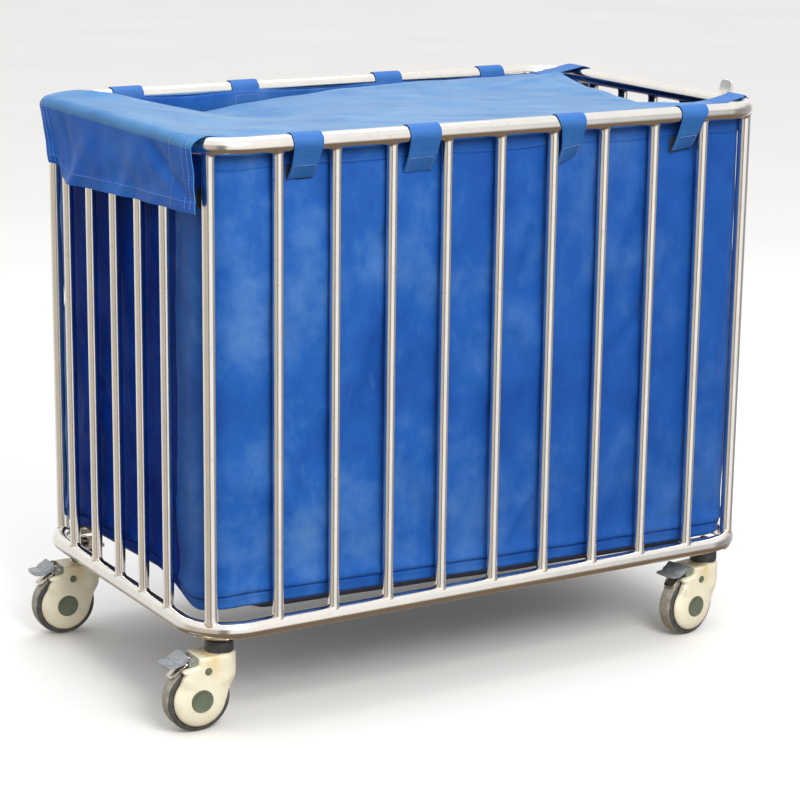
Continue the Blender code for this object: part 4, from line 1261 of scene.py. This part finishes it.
def build_side_strap(name, sy, top, low, drops):
    """Strap over a long rail: edges at the rail, edges at the free end, and the end's two drops."""
    profile = strap_profile()
    stations = []
    for i, (out, height, normal) in enumerate(profile):
        past = max(i - OVER_THE_TOP, 0) / (len(profile) - 1 - OVER_THE_TOP)
        ends = [(a + (b - a) * smooth_step(past * 1.25) + SHIFT, sy * (RAIL_Y + out),
                 UPPER_RAIL_Z + height * (1.0 + (drop / STRAP_DROP - 1.0) * past))
                for a, b, drop in zip(top, low, drops)]
        extra = 0.0009 if i >= HEM_STATION else 0.0
        stations.append((*ends, (0.0, sy * normal[0], normal[1]), extra))
    build_ribbon(name, stations)
    thread = Shape()
    seam = stations[SEAM_STATION:]
    stitches(thread, [on_strap(seam[0], share, 0.0018) for share in (0.06, 0.94)], seam[0][2])
    for share in (0.08, 0.92):
        stitches(thread, [on_strap(station, share, 0.0018) for station in seam], seam[-1][2])
    corners = ((0.08, 0), (0.92, 0), (0.92, 3), (0.08, 3), (0.08, 0))
    stitches(thread, [on_strap(stations[i], share, 0.0009) for share, i in corners], (0.0, -sy, 0.0))
    place(name + "_stitches", thread.mesh(name + "_stitches", [THREAD]), "root", "bag_fabric")

    def point(across, up, layer):
        x = low[0] - 0.001 + (low[1] - low[0] + 0.002) * across
        z = UPPER_RAIL_Z - drops[0] - (drops[1] - drops[0]) * across - 0.0032 + 0.022 * up
        return x + SHIFT, sy * (BAG_Y + 0.0012 + layer), z

    velcro_patch(name + "_velcro", (0.0010, -0.0006), point)


SIDE_STRAPS = (
    ("front_strap_1", -1, (-0.345, -0.298), (-0.342, -0.301), (0.0505, 0.0500)),
    ("front_strap_2", -1, (-0.160, -0.109), (-0.157, -0.110), (0.0545, 0.0535)),
    ("front_strap_3", -1, (0.0915, 0.139), (0.1045, 0.138), (0.0620, 0.0500)),
    ("front_strap_4", -1, (0.314, 0.3625), (0.313, 0.3515), (0.0550, 0.0500)),
    ("back_strap_1", 1, (-0.355, -0.304), (-0.350, -0.308), (0.0520, 0.0520)),
    ("back_strap_2", 1, (-0.150, -0.102), (-0.148, -0.104), (0.0530, 0.0510)),
    ("back_strap_3", 1, (0.114, 0.164), (0.116, 0.160), (0.0510, 0.0530)),
    ("back_strap_4", 1, (0.318, 0.365), (0.317, 0.352), (0.0520, 0.0510)),
)


def build_end_strap(name, sy):
    """Corner strap: from the cover's corner, over the right end of the rail and down outside."""
    reach = RAIL_RADIUS + 0.0020
    points = [(-0.078, 0.0040, (0.0, 1.0)), (-0.060, 0.0050, (0.0, 1.0)), (-0.042, 0.0068, (-0.06, 1.0)),
              (-0.026, 0.0095, (-0.12, 1.0))]
    for a in np.linspace(118.0, 4.0, 14):
        c, s = math.cos(math.radians(a)), math.sin(math.radians(a))
        points.append((reach * c, reach * s, (c, s)))
    for t in np.linspace(0.12, 1.0, 8):
        points.append((reach + 0.0010 * math.sin(math.pi * t), -0.045 * t, (1.0, 0.0)))
    stations = []
    for i, (out, height, normal) in enumerate(points):
        t = i / (len(points) - 1)
        middle = sy * (0.2230 - 0.0130 * smooth_step((t - 0.05) / 0.35))
        half = 0.0215 - 0.0015 * t
        normal = np.array((normal[0], 0.0, normal[1]))
        crease = 0.0010 * math.sin(9.0 * t)
        x, z = RAIL_X + out + SHIFT, UPPER_RAIL_Z + height + crease
        stations.append(((x, middle - half, z), (x, middle + half, z + 0.0004),
                         normal / np.linalg.norm(normal), 0.0008 if t > 0.86 else 0.0))
    build_ribbon(name, stations)


# Cover: one sheet, its left end a skirt outside the cage and the rest lying over the bag.
COVER_FRONT = -0.262
COVER_BACK = 0.236
RIDGE = RAIL_RADIUS + 0.0017
SKIRT_HEM = 0.835        # share of the skirt's drop where its hem is sewn
SKIRT_LOW = [(COVER_FRONT, 0.758), (-0.153, 0.751), (0.015, 0.745), (0.120, 0.740), (0.148, 0.745),
             (0.172, 0.757), (0.200, 0.760), (0.229, 0.761)]
FRONT_EDGE = [(-0.4787, 0.8572), (-0.455, 0.8560), (-0.430, 0.8520), (-0.400, 0.8492), (-0.360, 0.8480),
              (-0.200, 0.8470), (0.0, 0.8465), (0.200, 0.8458), (0.350, 0.8450), (0.440, 0.8440),
              (0.480, 0.8450)]
BACK_EDGE = [(-0.4787, 0.8575), (-0.425, 0.8600), (-0.400, 0.8580), (-0.360, 0.8500), (-0.300, 0.8330),
             (-0.250, 0.8205), (-0.225, 0.8180), (-0.190, 0.8205), (-0.155, 0.8250), (-0.066, 0.8320),
             (0.025, 0.8380), (0.130, 0.8430), (0.320, 0.8430), (0.440, 0.8440), (0.480, 0.8450)]
RIGHT_EDGE = [(COVER_FRONT, 0.446), (-0.235, 0.438), (-0.196, 0.404), (-0.150, 0.362), (-0.120, 0.356),
              (-0.060, 0.368), (0.021, 0.388), (0.132, 0.407), (0.180, 0.426), (0.215, 0.446),
              (COVER_BACK, 0.452)]


def ridge_place(y):
    """Left-hand place of the rail's centre under the ridge, at a distance along it."""
    past = max(abs(y) - (RAIL_Y - BEND_RADIUS), 0.0)
    share = min(past / BEND_RADIUS, 0.98)
    return -(RAIL_X - BEND_RADIUS) - BEND_RADIUS * math.sqrt(1.0 - share * share)


def rail_distance(x, y):
    """Distance of a point from the centre line of the upper rail, seen from above."""
    qx, qy = abs(x) - (RAIL_X - BEND_RADIUS), abs(y) - (RAIL_Y - BEND_RADIUS)
    outside = math.hypot(max(qx, 0.0), max(qy, 0.0)) + min(max(qx, qy), 0.0)
    return abs(outside - BEND_RADIUS)


def cover_top(x, y):
    """Height of the cover's middle layer over the bag."""
    across = min(max((y - COVER_FRONT) / (COVER_BACK - COVER_FRONT), 0.0), 1.0)
    f, b = along_profile(x, FRONT_EDGE), along_profile(x, BACK_EDGE)
    z = f + (b - f) * across ** 1.35
    inner = smooth_step((x + 0.47) / 0.10)
    z -= 0.0035 * math.sin(math.pi * across) * inner * (0.6 + 0.4 * math.sin(x * 9.0))
    held = math.sin(math.pi * (0.12 + 0.80 * across))
    z += 0.0052 * noise.noise(Vector((x * 4.6, y * 7.0, 1.0))) * inner * held
    z += 0.0013 * noise.noise(Vector((x * 17.0 + y * 8.0, y * 19.0, 4.0))) * inner
    for ax, ay, bx, by, width, height in COVER_FOLDS:
        dx, dy = bx - ax, by - ay
        part = min(max(((x - ax) * dx + (y - ay) * dy) / (dx * dx + dy * dy), 0.0), 1.0)
        away = math.hypot(x - ax - part * dx, y - ay - part * dy)
        z += height * math.exp(-(away / width) ** 2) * (1.0 - 0.55 * part)
    off = rail_distance(x, y)
    if off < RIDGE:
        z = max(z, UPPER_RAIL_Z + math.sqrt(RIDGE ** 2 - off * off))
    return z


COVER_FOLDS = (
    (0.452, 0.212, 0.338, 0.010, 0.020, 0.0055), (0.452, 0.212, 0.400, 0.060, 0.012, -0.0040),
    (0.440, 0.215, 0.250, 0.120, 0.014, 0.0030), (0.430, -0.235, 0.300, -0.120, 0.016, 0.0034),
    (0.420, -0.215, 0.372, -0.070, 0.010, 0.0024), (-0.440, 0.215, -0.250, 0.020, 0.030, 0.0036),
    (-0.425, 0.190, -0.240, 0.160, 0.016, 0.0026), (-0.430, -0.240, -0.300, -0.150, 0.018, 0.0026),
    (-0.230, 0.225, -0.170, -0.020, 0.040, -0.0040), (0.020, 0.220, 0.120, -0.050, 0.030, 0.0024),
)


def skirt_point(v, down):
    """Point of the skirt at a place along the ridge and a share of its drop."""
    low = along_profile(v, SKIRT_LOW)
    front = smooth_step((-0.150 - v) / 0.112)
    back = smooth_step((v - 0.150) / 0.086)
    x, y, top = over_ridge(v, 90.0)
    z = top - (top - low) * down
    wave = 0.0042 * math.sin(v * 21.0 + 0.8) + 0.0024 * math.sin(v * 47.0 + 2.0)
    x -= (wave + 0.0020) * down ** 1.2 * (1.0 - 0.5 * front)
    x += 0.0052 * noise.noise(Vector((v * 10.0, down * 1.6, 9.0))) * smooth_step(down * 2.0)
    x += 0.0020 * noise.noise(Vector((v * 29.0, down * 3.0, 4.0))) * smooth_step(down * 2.0)
    crease = math.exp(-((v + 0.175 + 0.13 * (down - 0.2)) / 0.017) ** 2)
    x += 0.0070 * crease * math.sin(math.pi * min(down + 0.10, 1.0))
    x -= 0.0056 * math.exp(-((v + 0.110 - 0.05 * down) / 0.022) ** 2) * down
    x -= 0.0062 * math.exp(-((v - 0.040 - 0.06 * down) / 0.022) ** 2) * down
    crease = math.exp(-((v - 0.150 + 0.05 * down) / 0.014) ** 2)
    x += 0.0032 * crease * math.sin(math.pi * min(down + 0.2, 1.0))
    y -= 0.019 * front * down + 0.036 * back * down ** 0.85
    return x, y, z


def over_ridge(v, angle):
    """Point of the sheet where it wraps the left end of the rail, standing off the rail's bends."""
    a = math.radians(angle)
    cx = ridge_place(v)
    reach = cx + RAIL_X + RIDGE
    front = smooth_step((-0.205 - v) / 0.057)
    back = smooth_step((v - 0.205) / 0.031)
    y = v - 0.018 * front * math.sin(a) - 0.003 * back * math.sin(a)
    lean = max(0.0012 * noise.noise(Vector((v * 15.0, 3.0, 5.0))), 0.0)
    return cx - reach * math.sin(a), y, UPPER_RAIL_Z + (RIDGE + lean) * math.cos(a)


def cover_point(kind, value, v):
    """Point of the sheet at a row's place and a distance across it."""
    if kind == "skirt":
        return skirt_point(v, value)
    if kind == "arc":
        return over_ridge(v, value)
    left, right = ridge_place(v), along_profile(v, RIGHT_EDGE)
    x = left + (right - left) * value
    return x, v, cover_top(x, v)


def cover_grid():
    """Middle layer of the sheet, from the skirt's hem to the right edge, with its rows and columns."""
    v_line = sorted({*np.round(np.linspace(COVER_FRONT, COVER_BACK, 96), 5),
                     -0.2130, -0.2123, 0.2050, 0.2058})
    skirt = sorted([*np.linspace(1.0, 0.10, 18), SKIRT_HEM, SKIRT_HEM - 0.007], reverse=True)
    kinds = [("skirt", down) for down in skirt]
    kinds += [("arc", a) for a in np.linspace(90.0, 0.0, 11)]
    kinds += [("top", t) for t in (*np.linspace(0.0, 0.06, 9)[1:], *np.linspace(0.06, 1.0, 112)[1:])]
    grid = np.array([[cover_point(kind, value, v) for v in v_line] for kind, value in kinds])
    return grid, kinds, v_line


def build_cover():
    grid, kinds, v_line = cover_grid()
    grid[:, :, 0] += SHIFT
    across = np.gradient(grid, axis=1)
    along = np.gradient(grid, axis=0)
    normals = np.cross(along, across)
    normals /= np.linalg.norm(normals, axis=2)[:, :, None]
    half = np.full(grid.shape[:2], CLOTH / 2)
    for r, (kind, value) in enumerate(kinds):
        for c, v in enumerate(v_line):
            if kind == "skirt" and value > 0.83:
                half[r, c] += 0.0006
            elif kind in ("skirt", "arc") and (v < -0.2130 or v > 0.2055):
                half[r, c] += 0.0006
    rims = np.zeros(grid.shape[:2])
    rims[0], rims[-1], rims[:, 0], rims[:, -1] = 1.0, 1.0, 1.0, 1.0
    half *= 1.0 - 0.5 * rims
    top = grid + normals * half[:, :, None]
    bottom = grid - normals * np.minimum(half, CLOTH / 2)[:, :, None]
    shape = Shape()
    surface_slab(shape, top.tolist(), bottom.tolist())
    run = run_of(grid[:, 40])
    flat = [(length, v) for length in run for v in v_line]
    columns = len(v_line) - 1
    skirt_faces = columns * sum(kind == "skirt" for kind, _ in kinds)
    layer = columns * (len(kinds) - 1)
    # The skirt's faces, on both layers, take the painted-shade copy of the cover cloth.
    for start in (0, layer):
        shape.finish[start:start + skirt_faces] = [1] * skirt_faces
    mesh = shape.mesh("cover_sheet", [COVER_CLOTH, SKIRT_SHADE_CLOTH], 60.0)
    unfold(mesh, flat + flat)
    sheet = place("cover_sheet", mesh, None, "cover_fabric", ["cover"])
    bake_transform(sheet)
    build_cover_seams(top, normals, kinds, v_line)


def build_cover_seams(top, normals, kinds, v_line):
    places = {}
    for r, (kind, _) in enumerate(kinds):
        places.setdefault(kind, []).append(r)
    skirt_rows, top_rows = places["skirt"], places["top"]

    def column(v):
        return int(np.argmin([abs(v - w) for w in v_line]))

    def seam(shape, *line):
        stitches(shape, top[line] + normals[line] * 0.0001, normals[line])

    thread = Shape()
    hem = [r for r in skirt_rows if abs(kinds[r][1] - SKIRT_HEM) < 0.001][0]
    seam(thread, hem, slice(1, -1))
    for v in (-0.2135, -0.2400, -0.2530, 0.2075, 0.2280):
        seam(thread, skirt_rows[1:] + places["arc"][:7], column(v))
    place("skirt_stitches", thread.mesh("skirt_stitches", [THREAD]), "root", "cover_fabric")
    thread = Shape()
    seam(thread, top_rows[12:-4], column(0.212))
    seam(thread, top_rows[-4], slice(3, -3))
    place("cover_stitches", thread.mesh("cover_stitches", [THREAD]), "cover", "cover_fabric")


def build_straps():
    for values in SIDE_STRAPS:
        build_side_strap(*values)
    build_end_strap("end_strap_front", -1)
    build_end_strap("end_strap_back", 1)

    def corner(across, up, layer):
        a, r = math.radians(197.0 + 25.0 * across), BAG_CORNER + 0.0010 + layer
        return (SHIFT + BAG_CORNER - BAG_X + r * math.cos(a), BAG_CORNER - BAG_Y + r * math.sin(a),
                0.756 + 0.026 * up)

    velcro_patch("corner_velcro", (0.0014, -0.0004), corner)


# ---------------------------------------------------------------- studio

def floor_finish():
    f = Finish("studio_floor", Roughness=0.9)
    return f.set(Base_Color=f.ramp(f.noise(1.5, 3.0, 0.5), (0.3, (0.86, 0.855, 0.845)),
                                   (0.7, (0.89, 0.885, 0.875))))


AROUND = (
    (0.00, (0.95, 0.95, 0.95)), (0.13, (0.80, 0.78, 0.75)), (0.22, (0.56, 0.50, 0.41)),
    (0.37, (0.60, 0.54, 0.46)), (0.40, (0.22, 0.21, 0.21)), (0.425, (0.26, 0.25, 0.25)),
    (0.45, (1.0, 0.99, 0.97)), (0.57, (1.0, 0.99, 0.97)), (0.645, (0.28, 0.28, 0.30)),
    (0.76, (0.40, 0.40, 0.42)), (0.86, (0.95, 0.95, 0.95)), (1.00, (0.95, 0.95, 0.95)),
)
SKY = (1.0, 1.0, 1.0)
GROUND = (0.20, 0.145, 0.095)


def build_world():
    """Softly lit room: white above, dim ground, darker on the left with a bright opening in front."""
    world = bpy.data.worlds.new("studio")
    bpy.context.scene.world = world
    world.use_nodes = True
    room = Nodes(world.node_tree)
    split = room.node("SeparateXYZ", Vector=room.coordinates["Generated"]).outputs
    turn = room.math("ARCTAN2", split["X"], room.product(split["Y"], -1.0))
    colour = room.ramp(room.spread(turn, -math.pi, math.pi).outputs["Result"], *AROUND)
    colour.node.color_ramp.interpolation = "EASE"
    for low, high, other in ((0.22, 0.62, SKY), (-0.26, -0.62, GROUND)):
        level = room.spread(split["Z"], low, high)
        level.interpolation_type = "SMOOTHSTEP"
        colour = room.mix(level.outputs["Result"], colour, other)
    room.feed(room.tree.nodes["Background"].inputs["Color"], colour)


FLOOR_RINGS = (2.0, 8.0, 30.0)
FLOOR_SIDES = 48
LAMPS = (                # name, place, aim, size, power, colour
    ("key", (-0.4, -2.9, 2.6), (-0.15, 0.0, 0.5), 1.8, 91.0, (1.0, 0.98, 0.95)),
    ("top", (0.2, 0.6, 3.6), (0.0, 0.0, 0.5), 2.8, 40.0, (1.0, 1.0, 1.0)),
)


def build_studio():
    shape = Shape()
    ring = [(0.0, 0.0, 0.0)]
    for radius in FLOOR_RINGS:
        ring += [(radius * c, radius * s, 0.0) for c, s in around(FLOOR_SIDES)]
    faces = [(0, 1 + k, 1 + (k + 1) % FLOOR_SIDES) for k in range(FLOOR_SIDES)]
    faces += [tuple(1 + i for i in face) for face in grid_faces(len(FLOOR_RINGS), FLOOR_SIDES, True)]
    shape.add(ring, faces)
    floor = place("studio_floor", shape.mesh("studio_floor", [floor_finish()]))
    floor.location.z = -0.0002
    floor.visible_glossy = False
    floor.visible_diffuse = False
    build_world()
    for name, spot, aim, size, power, colour in LAMPS:
        lamp = bpy.data.lights.new(name, "AREA")
        lamp.shape = "DISK"
        lamp.size = size
        lamp.energy = power
        lamp.color = colour
        holder = bpy.data.objects.new(name, lamp)
        bpy.context.scene.collection.objects.link(holder)
        holder.location = spot
        holder.rotation_euler = (Vector(aim) - Vector(spot)).to_track_quat("-Z", "Y").to_euler()


CAMERA_SPOT = (-1.919, -3.224, 1.326)
CAMERA_TURN = (75.83909, -0.67873, -30.84904)        # degrees about X, Y and Z
CAMERA_LENS = 110.9


def build_camera():
    lens = bpy.data.cameras.new("view")
    lens.lens = CAMERA_LENS
    lens.sensor_width = 36.0
    lens.clip_end = 60.0
    camera = bpy.data.objects.new("view", lens)
    bpy.context.scene.collection.objects.link(camera)
    camera.location = CAMERA_SPOT
    camera.rotation_euler = [math.radians(angle) for angle in CAMERA_TURN]
    bpy.context.scene.camera = camera
    bpy.context.scene.view_settings.view_transform = "Standard"


build_camera()
build_studio()
build_cage()
build_casters()
build_bag()
build_straps()
build_cover()

bpy.context.view_layer.update()
